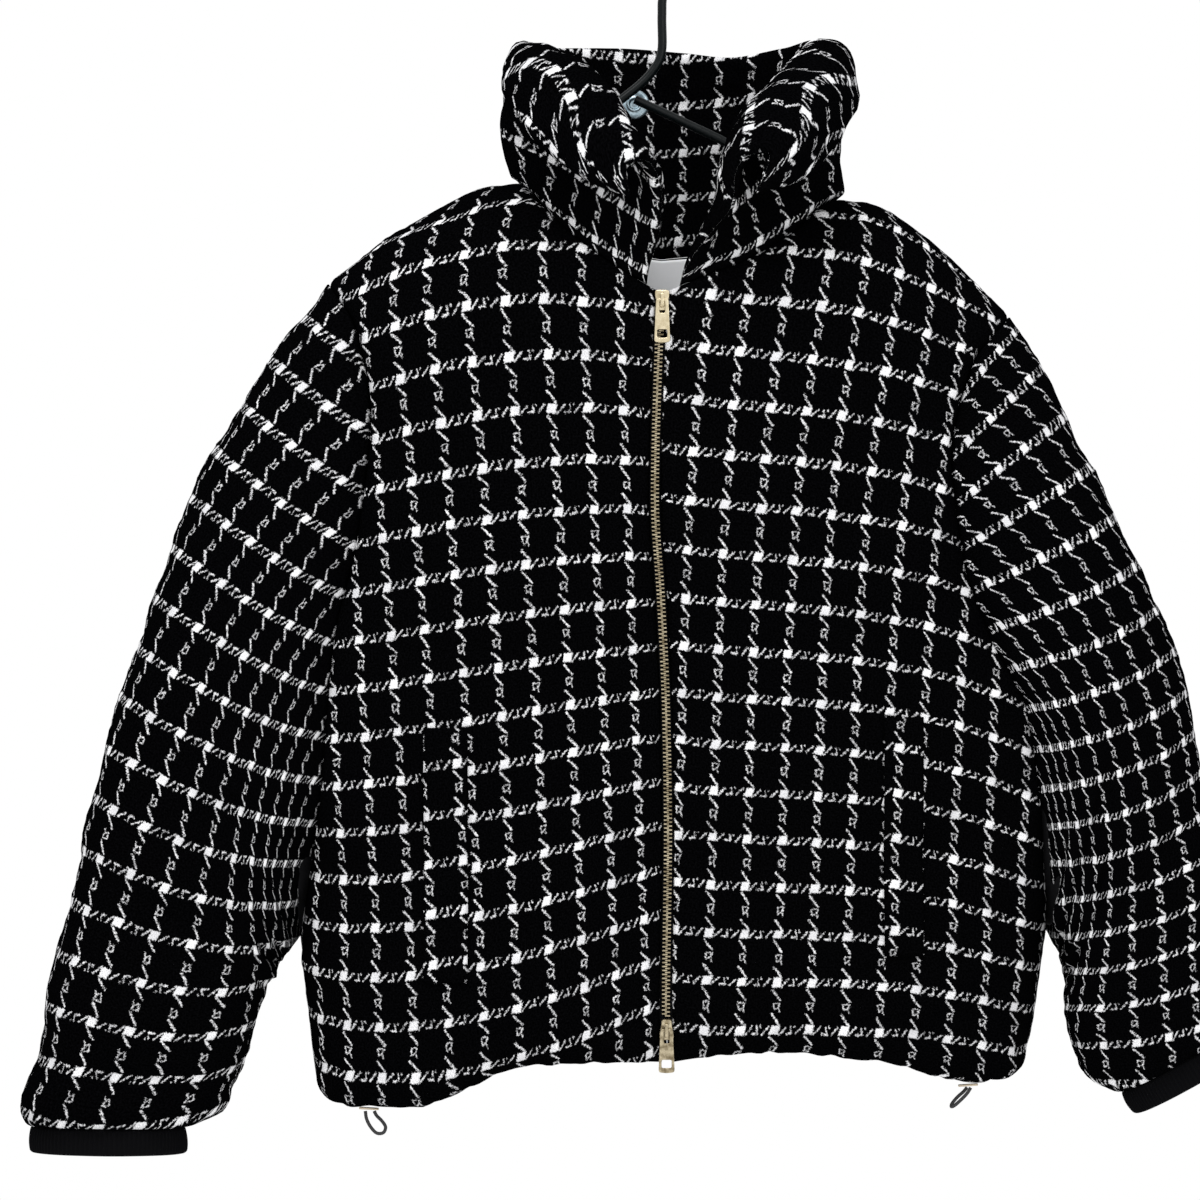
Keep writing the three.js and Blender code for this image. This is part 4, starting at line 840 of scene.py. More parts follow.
for half in ("left", "right"):
    at = evenly(lambda t: ring_point(half, t, 0.75, 0), 3.6)
    turn = evenly(lambda t: ring_point(half, 0.3, 2 * t, 0), 3.8, close=())
    turn = 2 * turn[:-1]
    grid = [ring_point(half, at[:, None], turn[None, :], inset) for inset in (0, WALL)]
    closed = np.concatenate([grid[0], grid[0][:, :1]], 1)
    columns, rows = SLEEVE_GRAIN[half](closed)
    start = int(np.argmin(np.abs(turn - 0.5)))
    ring_way = SIDE[half]
    steps = np.diff(columns, axis=1)
    depth = np.diff(closed[..., 1], axis=1) / COLUMN_PITCH
    across_mm = np.hypot(np.diff(closed[..., 0], axis=1), np.diff(closed[..., 2], axis=1))
    steps = ring_way * np.hypot(np.maximum(np.abs(steps), LEAST_SPREAD * across_mm / COLUMN_PITCH), depth)
    columns = np.concatenate([np.zeros_like(steps[:, :1]), np.cumsum(steps, 1)], 1) + (
        columns[:, start:start + 1] - np.cumsum(steps, 1)[:, start - 1:start])
    along_mm, to_cuff = runs(grid[0], 0)
    middle = grid[0].mean(1, keepdims=True)
    normals = facing(grid[0], grid[0] - middle, ring=True)
    lift = 0
    up = (1 - np.cos(math.pi * turn)) / 2
    for inner_at, outer_at, deep in SLEEVE_SEAMS[half]:
        line = mix(inner_at, outer_at, up)[None, :] + 0.004 * ripple(grid[0], 60, 33)
        away = (at[:, None] - line) * (along_mm + to_cuff)
        lift = lift - deep * (0.45 * np.exp(-np.abs(away) / 5) + 0.55 * np.exp(-(away / 26) ** 2))
    flat = np.stack([np.broadcast_to(turn * SLEEVE_ROUND, lift.shape), np.zeros_like(lift),
                     np.broadcast_to(at[:, None] * SLEEVE_RUN, lift.shape)], -1)
    for at0, turn0, at1, turn1, width, height in SLEEVE_FOLDS[half]:
        ends = (turn0 * SLEEVE_ROUND, at0 * SLEEVE_RUN, turn1 * SLEEVE_ROUND, at1 * SLEEVE_RUN)
        lift = lift + crease(flat, ends, width, height)
    lift = lift * (1 - np.exp(-(along_mm / 15) ** 2)) + unevenness(grid[0])
    lift = lift - armhole_valley(along_mm, up[None, :])
    gather = np.sin(turn * 2 * math.pi * 9)[None, :] + 0.5 * np.sin(turn * 2 * math.pi * 15 + 1)[None, :]
    lift = lift + 0.9 * gather * np.exp(-(to_cuff / 22) ** 2)
    lift = ease_edges(lift, (to_cuff,), 10.0)
    outer, inner = puffed(*grid, normals, lift, along_mm)
    outer, inner = pillow(outer, inner, low=3.0, first=0, last=0)
    sleeve = cloth_mesh(f"tweed_sleeve_{half}", outer, inner, np.stack([columns, rows], -1), ring=True)
    sleeve.data.materials.append(body_tweed if half == "right" else tweed("tweed_turned", turned=True))
    sleeve.data.materials.append(lining)
    sewn(sleeve, f"sleeve_{half}")

# ---- Cuffs: bands of black rib knit, double, gathered into the ends of the sleeves.
# Half of each band is tucked up inside the sleeve's end; about 18 mm of it shows.
RIB_WALL = 4.0
CUFF_SHOWS = 18.0
CUFF_TAPER = 0.94
RIB_PITCH = 2.4

rib_knit, node, give = finish("rib_knit", (0.002, 0.002, 0.002), Roughness=1.0, Specular_IOR_Level=0.05)
loops = node("TexNoise", None, None, 900.0, 2.0)
shade = node("Mix", loops, None, None, None, None, None, (0.0006, 0.0006, 0.0008, 1),
             (0.004, 0.004, 0.0048, 1), result=2, data_type="RGBA")
give("Base Color", shade)
give("Normal", node("Bump", 0.6, 0.0004, 1.0, loops))


def cuff_ring(half, drop, turn, inset):
    end = {name: SLEEVE[half][name][-1] for name in ("outer_out", "outer_z", "inner_out", "inner_z", "depth")}
    chord = np.array([end["outer_out"] - end["inner_out"], end["outer_z"] - end["inner_z"]], float)
    length = np.linalg.norm(chord)
    chord /= length
    down = np.array([chord[1], -chord[0]])
    middle = np.array([end["outer_out"] + end["inner_out"], end["outer_z"] + end["inner_z"]]) / 2
    reach = (length / 2) * CUFF_TAPER - inset
    x = middle[0] + down[0] * drop + chord[0] * reach * np.cos(turn)
    z = middle[1] + down[1] * drop + chord[1] * reach * np.cos(turn)
    return place(SIDE[half] * x, (end["depth"] * CUFF_TAPER - inset) * np.sin(turn), z)


for half in ("left", "right"):
    round_run = 240.0
    ribs = round(round_run / RIB_PITCH)
    turn = np.linspace(0, 2 * math.pi, ribs * 6, endpoint=False)
    drop = np.r_[0.3, 1, 2, np.linspace(3.5, CUFF_SHOWS - 3, 8), CUFF_SHOWS - np.array([1.6, 0.7, 0.2, 0])]
    ridge = 0.45 * np.cos(turn * ribs)[None, :]
    grid = [cuff_ring(half, drop[:, None], turn[None, :], inset) for inset in (0, RIB_WALL)]
    normals = facing(grid[0], grid[0] - grid[0].mean(1, keepdims=True), ring=True)
    slack = 0.8 * ripple(grid[0], 40, 51) + 1.0 * np.sin(drop / CUFF_SHOWS * math.pi)[:, None]
    outer, inner = grid[0] + normals * (ridge + slack)[..., None], grid[1] - normals * ridge[..., None]
    outer, inner = pillow(outer, inner, low=1.5, high=2.2, first=0, last=0)
    flat_map = np.zeros((len(drop), len(turn) + 1, 2))
    cuff = cloth_mesh(f"rib_cuff_{half}", outer, inner, flat_map, ring=True)
    cuff.data.materials.append(rib_knit)
    cuff.data.materials.append(rib_knit)
    sewn(cuff, f"cuff_{half}")

# ---- Collar: a tall padded funnel of tweed on both faces, sewn to the neckline.
# It stands up at the back, and its open front ends roll outward and hang over the shoulders.
COLLAR = {
    "neck": [0.07, 0.17, 0.29, 0.43, 0.6, 0.79, 0.975, 1.07, 1.26, 1.55, 1.81, 2.1, 2.36, 2.625, 2.87,
             3.01, 3.15, 3.31, 3.48, 3.62, 3.76, 3.88, 3.94],
    "low": [
        (0, -86, -203), (-10, -79, -193), (-22, -68, -184), (-36, -57, -172), (-50, -45, -164),
        (-75, -29, -156), (-102, -6, -152), (-99, 20, -160), (-84, 42, -178), (-52, 56, -190),
        (-22, 60, -195), (14, 60, -196), (44, 57, -194), (78, 48, -184), (108, 24, -168), (115, 0, -158),
        (92, -24, -164), (60, -43, -165), (49, -60, -171), (44, -76, -181), (40, -87, -193),
        (39, -94, -206), (41, -98, -214),
    ],
    "fold": [
        (-12, -104, -182), (-26, -94, -162), (-38, -78, -141), (-50, -62, -127), (-62, -45, -117),
        (-78, -25, -108), (-93, -4, -108), (-96, 24, -122), (-84, 48, -136), (-53, 62, -148),
        (-22, 66, -150), (15, 66, -152), (46, 63, -152), (80, 53, -142), (107, 27, -122), (106, -4, -104),
        (95, -27, -112), (83, -48, -128), (74, -68, -137), (66, -84, -149), (59, -95, -161),
        (54, -102, -173), (52, -106, -181),
    ],
    "over": [
        (-24, -111, -188), (-44, -103, -168), (-60, -90, -146), (-72, -72, -130), (-81, -53, -118),
        (-90, -30, -109), (-93, -4, -102), (-91, 26, -103), (-80, 50, -108), (-53, 63, -113),
        (-21, 67, -114), (16, 67, -116), (48, 64, -118), (82, 53, -111), (104, 26, -97), (116, -6, -103),
        (112, -33, -114), (106, -56, -131), (99, -77, -142), (92, -93, -156), (83, -103, -165),
        (73, -109, -171), (68, -112, -178),
    ],
    "edge": [
        (-22, -107, -206), (-46, -102, -197), (-68, -90, -182), (-84, -75, -166), (-93, -56, -150),
        (-99, -34, -138), (-98, -6, -115), (-89, 27, -97), (-77, 49, -95), (-52, 60, -94), (-21, 64, -94),
        (16, 64, -97), (48, 61, -100), (82, 50, -95), (107, 25, -93), (123, -8, -136), (120, -37, -150),
        (112, -60, -168), (99, -80, -184), (87, -94, -194), (77, -103, -199), (67, -109, -202),
        (60, -112, -204),
    ],
}
NECK_SIDE = {"left": 0.42, "right": 0.496}
NECK_RISE = 0.2
SEAM_STANDS = 10.0
ROLL_PLUMP = 3.0            # the rolled front ends are this much thicker on each side


def neck_point(share, inset):
    """The neckline at shares of the collar's sections, raised to where the collar starts."""
    count = share * (len(COLLAR["neck"]) - 1)
    neck = np.interp(count, np.arange(len(COLLAR["neck"])), COLLAR["neck"])
    points = []
    for where in neck:
        quarter = min(3, int(where))
        half = "left" if quarter < 2 else "right"
        out = (where - quarter if quarter % 2 == 0 else quarter + 1 - where) * NECK_SIDE[half]
        face = 1 if quarter in (1, 2) else -1
        points.append(torso_point(half, face, np.array(out), np.array(1.0), inset))
    return np.array(points) + (0, 0, NECK_RISE)


def collar_points(share, up):
    """Points in the middle of the collar's cloth, up from the seam and along it from left to right."""
    foot = neck_point(share, WALL / 2)
    climb = through(np.stack([COLLAR[name] for name in ("low", "fold", "over", "edge")], 1), share)
    above = mix(foot, climb[:, 0], 0.1)
    above[:, 2] = foot[:, 2] + SEAM_STANDS
    return through(np.stack([foot, above, *climb.transpose(1, 0, 2)]), up)


share = evenly(lambda t: collar_points(t, np.array([0.62]))[0], 2.3)
up = evenly(lambda t: collar_points(np.array([0.45]), t)[:, 0], 2.3)
middle = collar_points(share, up)
normals = np.cross(np.gradient(middle, axis=0), np.gradient(middle, axis=1))
normals /= np.linalg.norm(normals, axis=-1, keepdims=True)
from_left, to_right = runs(middle, 1)
above_seam, _ = runs(middle, 0)
lift = 1.4 * ripple(middle, 70, 61) + 0.8 * ripple(middle, 30, 62) + 0.35 * ripple(middle, 10, 63)
lift = ease_edges(lift, (above_seam,), 8.0)
half_wall = WALL / 2 + ROLL_PLUMP * np.clip((above_seam - 60) / 30, 0, 1) * np.clip(
    (np.minimum(from_left, to_right) - 4) / 16, 0, 1) * np.clip((30 - middle[..., 1]) / 40, 0, 1)
middle = middle + normals * lift[..., None]
outer, inner = (middle + normals * (half_wall * way)[..., None] for way in (1, -1))
leaves = np.clip(above_seam / 12, 0, 1)[..., None]
outer = mix(neck_point(share, 0) + (middle - middle[:1]), outer, leaves)
inner = mix(neck_point(share, WALL) + (middle - middle[:1]), inner, leaves)
outer, inner = pillow(outer, inner, low=2.0, high=7.0)
inner_collar, inner_collar_normals = inner, -normals
back_middle = int(np.argmin(np.abs(middle[-1, :, 0] + 6) + 1000 * (middle[-1, :, 1] < 40)))
columns = from_left - from_left[:, back_middle:back_middle + 1]
columns = np.broadcast_to(columns[len(up) // 2][None], columns.shape) / 22.7
rows = (9.5 - above_seam) / 32.5
collar = cloth_mesh("tweed_collar", outer, inner, np.stack([-columns, rows], -1),
                    inner_weave=np.stack([columns, rows], -1))
collar.data.materials.append(body_tweed)
collar.data.materials.append(body_tweed)
sewn(collar, "collar")

# ---- Pocket welts: upright strips of the same tweed stitched over the pocket mouths.
POCKETS = {
    "left": {"top": -551, "bottom": -719, "near": 128, "far": 157, "shift": (0.35, 0.2)},
    "right": {"top": -544, "bottom": -701, "near": 145, "far": 171, "shift": (-0.3, 0.25)},
}
WELT_WALL = 3.0


def on_front(half, out, z):
    """Where on a front panel a distance outward and a height lie: its shares across and up."""
    low, high = np.zeros_like(out), np.ones_like(out)
    for _ in range(36):
        up = (low + high) / 2
        middle = np.abs(torso_point(half, -1, np.zeros_like(out), up, 0)[..., 0])
        side = np.abs(torso_point(half, -1, np.ones_like(out), up, 0)[..., 0])
        across = (out - middle) / (side - middle)
        below = torso_point(half, -1, across, up, 0)[..., 2] < z
        low, high = np.where(below, up, low), np.where(below, high, up)
    return across, (low + high) / 2


for half, pocket in POCKETS.items():
    z = np.linspace(pocket["bottom"], pocket["top"], 70)[:, None]
    out = np.linspace(pocket["near"], pocket["far"], 16)[None, :]
    out, z = (np.array(a) for a in np.broadcast_arrays(out, z))
    across, up = on_front(half, out, z)
    base = torso_point(half, -1, across, up, 0)
    lift = quilted(base, FRONT_SEAMS[half], 240) + unevenness(base)
    for x0, z0, x1, z1, width, height in FRONT_FOLDS[half]:
        lift = lift + crease(base, (x0, z0, x1, z1), width, height)
    normals = facing(base, (0, -1, 0))
    inner = base + normals * (lift + 0.8)[..., None]
    outer = inner + normals * WELT_WALL
    outer, inner = pillow(outer, inner, 1.8, 1.8, 1.8, 1.8)
    columns, rows = FRONT_GRAIN[half](base)
    welt = cloth_mesh(f"tweed_welt_{half}", outer, inner,
                      np.stack([columns + pocket["shift"][0], rows + pocket["shift"][1]], -1))
    welt.data.materials.append(body_tweed)
    welt.data.materials.append(body_tweed)
    sewn(welt, f"pocket_welt_{half}")

# ---- Zip: black woven tapes behind the fronts' edges, with cast brass teeth clenched on them.
# A size 5 chain: teeth from both sides interlock, 5.8 mm wide and 2.6 mm apart on each tape.
CHAIN_HALF = 2.9
TOOTH_PITCH = 2.6
CHAIN_FROM, CHAIN_TO = -277.9, -741.6
TAPE_BEHIND = 4.5           # the fronts' faces
TAPE_WALL = 1.0
TAPE_FROM, TAPE_TO = -266.0, -768.0

tape_cloth, node, give = finish("zip_tape", (0.004, 0.004, 0.005), Roughness=0.9, Specular_IOR_Level=0.1)
herringbone = node("TexWave", None, 700.0, 2.0, result=1, wave_type="BANDS", bands_direction="DIAGONAL")
give("Normal", node("Bump", 0.5, 0.0003, 1.0, herringbone))


def worn_metal(name, dark, bright, low, high):
    """Cast metal, darker in its pits and brighter and smoother where it is rubbed."""
    metal, node, give = finish(name, bright, Metallic=1.0)
    wear = node("TexNoise", node("TexCoord", result=3), None, 260.0, 4.0)
    pits = node("MapRange", wear, 0.35, 0.65, 0.0, 1.0)
    give("Base Color", node("Mix", pits, None, None, None, None, None, (*dark, 1), (*bright, 1), result=2,
                            data_type="RGBA"))
    give("Roughness", node("MapRange", wear, 0.3, 0.7, high, low))
    give("Normal", node("Bump", 0.25, 0.0002, 1.0, wear))
    return metal


brass = worn_metal("antique_brass", (0.17, 0.135, 0.08), (0.52, 0.45, 0.31), 0.30, 0.5)
pale_gold = worn_metal("pale_gold", (0.45, 0.38, 0.24), (0.72, 0.63, 0.44), 0.24, 0.42)


def box_mesh(name, corners_list, material):
    """Many tapered six-sided blocks as one mesh: each is its eight corners, lower ring first."""
    points, faces = [], []
    for corners in corners_list:
        start = len(points)
        points += [tuple(c) for c in corners]
        faces += [[start + k for k in f] for f in (
            (3, 2, 1, 0), (4, 5, 6, 7), (0, 1, 5, 4), (1, 2, 6, 5), (2, 3, 7, 6), (3, 0, 4, 7))]
    mesh = bpy.data.meshes.new(name)
    mesh.from_pydata((np.array(points) * MM).tolist(), [], faces)
    mesh.materials.append(material)
    piece = bpy.data.objects.new(name, mesh)
    bpy.context.collection.objects.link(piece)
    return piece


def zip_face(z):
    """How far forward the fronts' faces stand beside the zip."""
    z = np.asarray(z, float)
    _, up = on_front("left", np.full_like(z, ZIP_SLOT), z)
    return torso_point("left", -1, np.zeros_like(z), up, 0)[..., 1]


tooth_z = np.arange(CHAIN_FROM - 1.0, CHAIN_TO, -TOOTH_PITCH / 2)
tooth_x = follow(ZIP_LINE, "z", tooth_z, "x")
tooth_y = zip_face(tooth_z)
teeth = []
for k, (x, y, z) in enumerate(zip(tooth_x, tooth_y, tooth_z)):
    side = 1 if k % 2 else -1
    ends = sorted((side * CHAIN_HALF, -side * 0.9))
    front, back_y = y + 1.6, y + 4.0
    teeth.append([
        (x + ends[0], back_y, z - 0.55), (x + ends[1], back_y, z - 0.55),
        (x + ends[1], back_y, z + 0.55), (x + ends[0], back_y, z + 0.55),
        (x + ends[0] + 0.3, front, z - 0.45), (x + ends[1] - 0.3, front, z - 0.45),
        (x + ends[1] - 0.3, front, z + 0.45), (x + ends[0] + 0.3, front, z + 0.45),
    ])
chain = box_mesh("zip_teeth", teeth, brass)
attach(chain, "jacket")
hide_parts("zip_chain")

for half in ("left", "right"):
    z = np.linspace(TAPE_TO, TAPE_FROM, 170)[:, None]
    out = np.linspace(SEAM_GAP / 2, ZIP_SLOT - 2 * SEAM_GAP, 5)[None, :]
    x = follow(ZIP_LINE, "z", z, "x") + SIDE[half] * out
    y = zip_face(z[:, 0])[:, None] + TAPE_BEHIND
    outer = place(x, y, z)
    outer, inner = pillow(outer, outer + (0, TAPE_WALL, 0), 0.4, 0.4, 0.3, 0.3)
    tape = cloth_mesh(f"zip_tape_cloth_{half}", outer, inner, np.zeros((*outer.shape[:2], 2)))
    tape.data.materials.append(tape_cloth)
    tape.data.materials.append(tape_cloth)
    sewn(tape, f"zip_tape_{half}")

# ---- Zip sliders and pulls: cast, the upper one pale gold and the lower one antique brass.
# A shield plate with a bridge, and a flat tab with a slot and a window that swings on its bar.
SLIDER = {"length": 13.5, "wide": 9.4, "narrow": 6.8, "plate": 2.0, "core": 6.6, "core_depth": 3.9}
BRIDGE = {"width": 2.2, "wall": 1.4, "inside": 3.2, "length": 9.6}
PULL = {"length": 29.0, "top": 8.2, "low": 10.6, "wall": 1.6, "bar": 1.8, "slot": (3.6, 7.6)}
PULL_WINDOW = {"width": 6.6, "height": 5.4, "up": 3.4}
SLIDER_TOPS = {"top": -264.0, "bottom": -742.5}
FLAT_ON = Matrix(((1, 0, 0, 0), (0, 0, -1, 0), (0, 1, 0, 0), (0, 0, 0, 1)))     # up in the plate: up
ON_EDGE = Matrix(((0, 0, 1, 0), (0, -1, 0, 0), (1, 0, 0, 0), (0, 0, 0, 1)))     # along it: up


def soft_loop(corners, radius):
    """A closed outline with its corners rounded."""
    corners = np.array(corners, float)
    loop = []
    for before, corner, after in zip(np.roll(corners, 1, 0), corners, np.roll(corners, -1, 0)):
        ends = [corner + (end - corner) * min(0.45, radius / np.linalg.norm(end - corner))
                for end in (before, after)]
        for t in np.linspace(0, 1, 6):
            loop.append((1 - t) ** 2 * ends[0] + 2 * t * (1 - t) * corner + t * t * ends[1])
    return loop


def cast(name, parts, place_it, material):
    """One mesh of flat parts with rounded edges. A part is its outline and holes, its thickness, its
    edge's radius, and the matrix from its own plane to the piece."""
    whole = bmesh.new()
    for loops, thick, edge, where in parts:
        curve = bpy.data.curves.new(name, "CURVE")
        curve.dimensions, curve.fill_mode = "2D", "BOTH"
        curve.extrude, curve.bevel_depth, curve.bevel_resolution = thick / 2 - edge, edge, 3
        curve.offset = -edge
        for loop in loops:
            spline = curve.splines.new("POLY")
            spline.points.add(len(loop) - 1)
            spline.use_cyclic_u = True
            for point, (x, y) in zip(spline.points, loop):
                point.co = (x, y, 0, 1)
        flat = bpy.data.objects.new(name, curve)
        mesh = bpy.data.meshes.new_from_object(flat)
        mesh.transform(Matrix.Scale(MM, 4) @ place_it @ where)
        whole.from_mesh(mesh)
        bpy.data.objects.remove(flat)
        bpy.data.curves.remove(curve)
        bpy.data.meshes.remove(mesh)
    bmesh.ops.remove_doubles(whole, verts=whole.verts, dist=0.00001)
    bmesh.ops.recalc_face_normals(whole, faces=whole.faces)
    mesh = bpy.data.meshes.new(name)
    whole.to_mesh(mesh)
    whole.free()
    mesh.materials.append(material)
    mesh.shade_smooth()
    piece = bpy.data.objects.new(name, mesh)
    bpy.context.collection.objects.link(piece)
    crisp = piece.modifiers.new("crisp", "WEIGHTED_NORMAL")
    crisp.keep_sharp = True
    return piece


def oblong(width, high, low, radius):
    return soft_loop([(-width / 2, low), (width / 2, low), (width / 2, high), (-width / 2, high)], radius)


for end, metal in (("top", pale_gold), ("bottom", brass)):
    length, thick = SLIDER["length"], SLIDER["plate"]
    z = np.array([SLIDER_TOPS[end], SLIDER_TOPS[end] - length])
    x, y = follow(ZIP_LINE, "z", z, "x"), zip_face(z)
    lean = math.atan2(y[1] - y[0], length)
    slider_at = Matrix.Translation((x.mean(), y[0], z[0])) @ Matrix.Rotation(lean, 4, "X")
    wide, narrow = SLIDER["wide"] / 2, SLIDER["narrow"] / 2
    top, low = (wide, narrow) if end == "top" else (narrow, wide)
    shield = soft_loop([(-top, 0), (top, 0), (top, -4), (low, -length + 4), (low, -length), (-low, -length),
                        (-low, -length + 4), (-top, -4)], 2.2)
    reach, rise = BRIDGE["length"] / 2, BRIDGE["inside"] + BRIDGE["wall"]
    inside = reach - BRIDGE["wall"]
    arch = soft_loop([(-reach, -0.5), (-reach, rise), (reach, rise), (reach, -0.5), (inside, -0.5),
                      (inside, BRIDGE["inside"]), (-inside, BRIDGE["inside"]), (-inside, -0.5)], 1.3)
    core = soft_loop([(-SLIDER["core"] / 2, -0.3), (SLIDER["core"] / 2, -0.3),
                      (SLIDER["core"] / 2, -length + 0.3), (-SLIDER["core"] / 2, -length + 0.3)], 1.2)
    slider = cast(f"slider_{end}", [
        ([shield], thick, 0.5, Matrix.Translation((0, -SEAM_GAP - thick / 2, 0)) @ FLAT_ON),
        ([arch], BRIDGE["width"], 0.45, Matrix.Translation((0, -thick - SEAM_GAP, -length / 2)) @ ON_EDGE),
        ([core], SLIDER["core_depth"] + 1, 0.3,
         Matrix.Translation((0, (SLIDER["core_depth"] - 1) / 2, 0)) @ FLAT_ON),
    ], slider_at, metal)
    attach(slider, "jacket")
    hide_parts(f"zip_slider_{end}")

    pivot = slider_at @ Vector((0, -SEAM_GAP - thick - BRIDGE["inside"] / 2, -length / 2))
    head, foot = PULL["bar"] / 2, PULL["bar"] / 2 - PULL["length"]
    tab = soft_loop([(-PULL["top"] / 2, head), (PULL["top"] / 2, head), (PULL["low"] / 2, foot + 0.6),
                     (0, foot), (-PULL["low"] / 2, foot + 0.6)], 1.8)
    slot_high = -PULL["bar"] / 2
    window_low = foot + PULL_WINDOW["up"]
    holes = [oblong(PULL["slot"][0], slot_high, slot_high - PULL["slot"][1], 1.0),
             oblong(PULL_WINDOW["width"], window_low + PULL_WINDOW["height"], window_low, 1.2)]
    pull = cast(f"pull_{end}_tab", [([tab, *holes], PULL["wall"], 0.4, FLAT_ON)],
                Matrix.Translation(pivot), metal)
    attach(pull, f"pull_{end}")
    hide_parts(f"zip_pull_{end}")

# ---- Neck label: a small bare white woven cloth sewn inside the back, below the collar's seam.
# It lies on the lining, and its lower edge stands a little off.
LABEL = {"left": -16.0, "right": 19.0, "low": 0.952, "high": 0.998, "wall": 1.0}

label_cloth, node, give = finish("label", (0.97, 0.98, 1.0), Roughness=0.55, Sheen_Weight=0.3)
satin = node("TexWave", None, None, 1800.0, 0.6, result=1, wave_type="BANDS", bands_direction="X")
give("Normal", node("Bump", 0.3, 0.0001, 1.0, satin))

x = np.linspace(LABEL["left"], LABEL["right"], 30)[None, :]
up = np.linspace(LABEL["low"], LABEL["high"], 24)[:, None]
x, up = (np.array(a) for a in np.broadcast_arrays(x, up))
skins = []
for inset in (WALL + SEAM_GAP, WALL + SEAM_GAP + LABEL["wall"]):
    skin = np.zeros((*x.shape, 3))
    for half, mine in (("left", x < 0), ("right", x >= 0)):
        across = np.abs(x) / np.abs(torso_point(half, 1, np.ones_like(x), up, 0)[..., 0])
        skin[mine] = torso_point(half, 1, across, up, inset)[mine]
    skins.append(skin)
curl = 1.2 * np.clip(1 - (up - LABEL["low"]) / (LABEL["high"] - LABEL["low"]), 0, 1) ** 2
outer, inner = pillow(skins[1] - curl[..., None] * (0, 1, 0), skins[0] - curl[..., None] * (0, 1, 0),
                      0.5, 0.5, 0.5, 0.5)
label = cloth_mesh("neck_label_cloth", outer, inner, np.zeros((*outer.shape[:2], 2)))
label.data.materials.append(label_cloth)
label.data.materials.append(label_cloth)
wide = float(runs(outer, 1)[0][:, -1].mean()) * MM
tall = float(runs(outer, 0)[0][-1].mean()) * MM
sewn(label, "neck_label")

# ---- Press stud: a pale steel socket on the collar's inner face at the back.
# Turned: a rolled rim, a sunk face and a small open middle.
STUD_PROFILE = [(0, 0), (9.6, 0), (10.2, 0.4), (10.4, 0.9), (10.1, 1.5), (9.2, 2.0), (7.8, 2.2), (5.6, 2.0),
                (4.8, 2.3), (4.0, 2.3), (3.4, 1.8), (3.0, 0.9), (0, 0.8)]
stud_steel = worn_metal("stud", (0.13, 0.18, 0.21), (0.34, 0.42, 0.46), 0.28, 0.42)

low, high = (np.array(corner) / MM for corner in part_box("collar_stud"))
centre = (low + high) / 2
apart = inner_collar - centre
nearest = np.unravel_index(np.argmin((apart ** 2).sum(-1)), apart.shape[:2])
axis = Vector(inner_collar_normals[nearest])
seat = Vector(inner_collar[nearest]) + axis * 0.4
turns = 48
profile = through(np.array([(r, 0, h) for r, h in STUD_PROFILE], float), np.linspace(0, 1, 49))
spin = bmesh.new()
rings = []
for r, _, h in profile:
    rings.append([spin.verts.new((max(r, 0.01) * math.cos(a), max(r, 0.01) * math.sin(a), h))
                  for a in np.linspace(0, 2 * math.pi, turns, endpoint=False)])
for ring, above in zip(rings, rings[1:]):
    for k in range(turns):
        spin.faces.new((ring[k], ring[(k + 1) % turns], above[(k + 1) % turns], above[k]))
spin.faces.new(rings[0][::-1])
spin.faces.new(rings[-1])
mesh = bpy.data.meshes.new("press_stud")
spin.to_mesh(mesh)
spin.free()
upright = axis.to_track_quat("Z", "Y").to_matrix().to_4x4()
mesh.transform(Matrix.Scale(MM, 4) @ Matrix.Translation(seat) @ upright)
mesh.materials.append(stud_steel)
mesh.shade_smooth()
stud = bpy.data.objects.new("press_stud", mesh)
bpy.context.collection.objects.link(stud)
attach(stud, "jacket")
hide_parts("collar_stud")

# ---- Eyelet patches: small stiff beige patches under the hem, where the drawcord's ends go in.
# Woven webbing with rounded corners, 1.2 mm thick.
EYELET = {"length": 13.0, "width": 7.0, "wall": 1.2}

webbing, node, give = finish("eyelet", (0.45, 0.38, 0.28), Roughness=0.8)
ribs = node("TexWave", None, None, 900.0, 1.0, result=1, wave_type="BANDS", bands_direction="X")
give("Normal", node("Bump", 0.5, 0.0003, 1.0, ribs))

for half in ("left", "right"):
    low, high = (np.array(corner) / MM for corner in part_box(f"drawcord_eyelet_{half}"))
    lean = math.asin(max(-0.9, min(0.9, (high[2] - low[2] - EYELET["wall"]) / EYELET["length"])))
    outline = oblong(EYELET["length"], EYELET["width"] / 2, -EYELET["width"] / 2, 1.6)
    tilt = Matrix.Rotation(-SIDE[half] * lean, 4, "Y")
    patch = cast(f"eyelet_patch_{half}", [([outline], EYELET["wall"], 0.35, Matrix.Identity(4))],
                 Matrix.Translation((low + high) / 2) @ tilt, webbing)
    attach(patch, "jacket")
    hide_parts(f"drawcord_eyelet_{half}")

# ---- Hanger: 6 mm steel rod, painted black, bent to a hook, a shaft and two arms.
# The left arm runs on from the shaft; the right one is welded behind it. Both lie under the shoulders.
ROD_RADIUS = 3.0
HOOK_RADIUS = 25.0
SEAT_GAP = 1.9
SHAFT = [(9, -51), (1, -64), (0, -78), (0, -100)]
ARMS = {
    "left": [(-2, -108), (-8, -117), (-15, -124), (-25, -132), (-35, -140), (-64, -171), (-93, -213),
             (-118, -224)],
    "right": [(-18, -133), (14, -148), (48, -165), (84, -191), (114, -224), (134, -230)],
}
SHOULDER_SEATS = [158, 172, 186, 198]

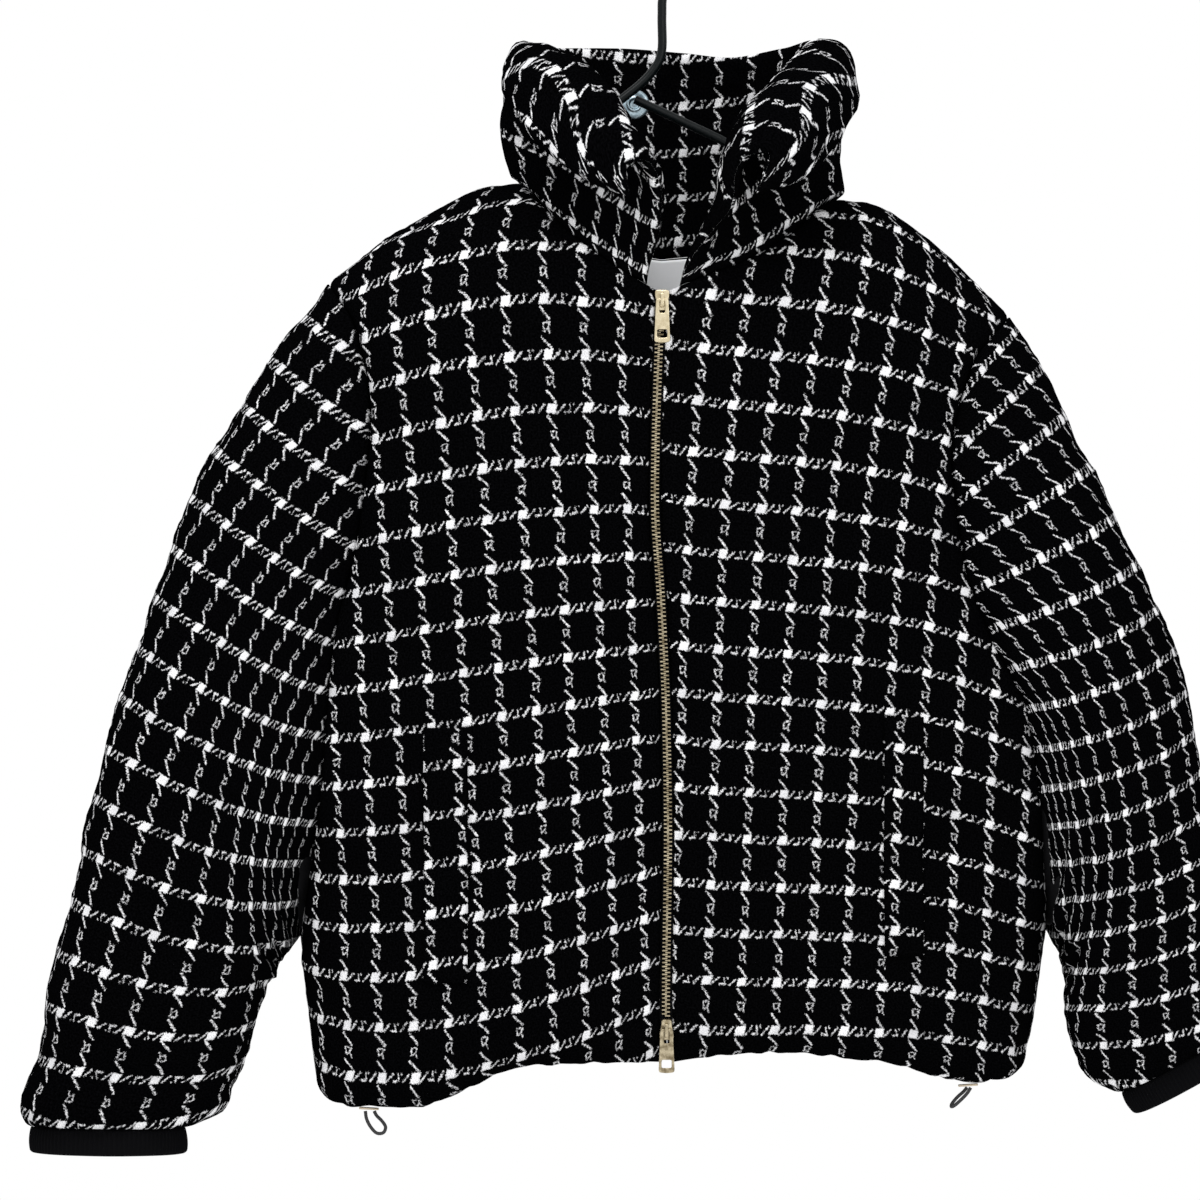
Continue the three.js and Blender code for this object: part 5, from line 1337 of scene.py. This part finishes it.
paint, node, give = finish("black_rod", (0.0015, 0.003, 0.0034), Roughness=0.3, Specular_IOR_Level=0.15)
brushed = node("TexNoise", node("TexCoord", result=3), None, 420.0, 3.0)
give("Roughness", node("MapRange", brushed, 0.3, 0.7, 0.22, 0.42))
give("Normal", node("Bump", 0.12, 0.0002, 1.0, brushed))


def arm_path(half, behind):
    """The arm's bends from the shaft outward, then its seat under the shoulder's inner face."""
    path = [(x, behind * (1 if i < 2 else max(0, (4 - i) / 3)), z)
            for i, (x, z) in enumerate(ARMS[half])]
    far = TOP[half, -1]["out"][-1]

    def under(out):
        return torso_point(half, -1, np.array(out / far), np.array(1.0), WALL) * (1, 0, 1)

    for out in SHOULDER_SEATS:
        slope = under(out + 2) - under(out - 2)
        slope /= np.linalg.norm(slope)
        inward = np.array((SIDE[half] * slope[2], 0, -abs(slope[0])))
        path.append(under(out) + inward * (ROD_RADIUS + SEAT_GAP))
    return path


hook = [(HOOK_RADIUS * math.cos(a), 0, HOOK_RADIUS * (math.sin(a) - 1) + ROD_RADIUS)
        for a in np.linspace(1.12 * math.pi, -0.16 * math.pi, 12)]
bends = hook + [(x, 0, z) for x, z in SHAFT] + arm_path("left", 0)
for name, path in (("hanger_rod", bends), ("hanger_arm_right", arm_path("right", 2 * ROD_RADIUS + SEAM_GAP))):
    tube = rod(name + "_bent", through(path, np.linspace(0, 1, 12 * len(path))), ROD_RADIUS, 8)
    tube.data.materials.append(paint)
    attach(tube, "jacket")
    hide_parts(name)

# ---- Stage: a plain pale floor far below the hanging jacket, a pale world and soft studio lights.
floor_mesh = bpy.data.meshes.new("floor")
floor_mesh.from_pydata([(x, y, -1.35) for x, y in ((-3.2, -3.2), (3.2, -3.2), (3.2, 3.2), (-3.2, 3.2))],
                       [], [(0, 1, 2, 3)])
paper, node, give = finish("floor_paper", (0.95, 0.95, 0.95), Roughness=0.9)
grain_noise = node("TexNoise", None, None, 60.0, 2.0)
give("Normal", node("Bump", 0.02, 0.001, 1.0, grain_noise))
floor_mesh.materials.append(paper)
floor = bpy.data.objects.new("floor", floor_mesh)
bpy.context.collection.objects.link(floor)

world = bpy.data.worlds.new("studio")
world.use_nodes = True
world.node_tree.nodes["Background"].inputs["Color"].default_value = (1, 1, 1, 1)
world.node_tree.nodes["Background"].inputs["Strength"].default_value = 1.0
bpy.context.scene.world = world
bpy.context.scene.view_settings.view_transform = "Standard"


def softbox(name, at, aim, size, watts):
    light = bpy.data.lights.new(name, "AREA")
    light.shape, light.size, light.energy = "SQUARE", size, watts
    lamp = bpy.data.objects.new(name, light)
    lamp.location = at
    way = np.array(aim, float) - at
    yaw, pitch = math.atan2(way[0], way[1]), math.atan2(way[2], math.hypot(way[0], way[1]))
    lamp.rotation_euler = (math.pi / 2 + pitch, 0, -yaw)
    bpy.context.collection.objects.link(lamp)


softbox("key", (-0.5, -1.5, 1.6), (0, 0, -0.45), 1.2, 45)
softbox("fill", (1.2, -2.4, 0.4), (0, 0, -0.5), 1.6, 14)
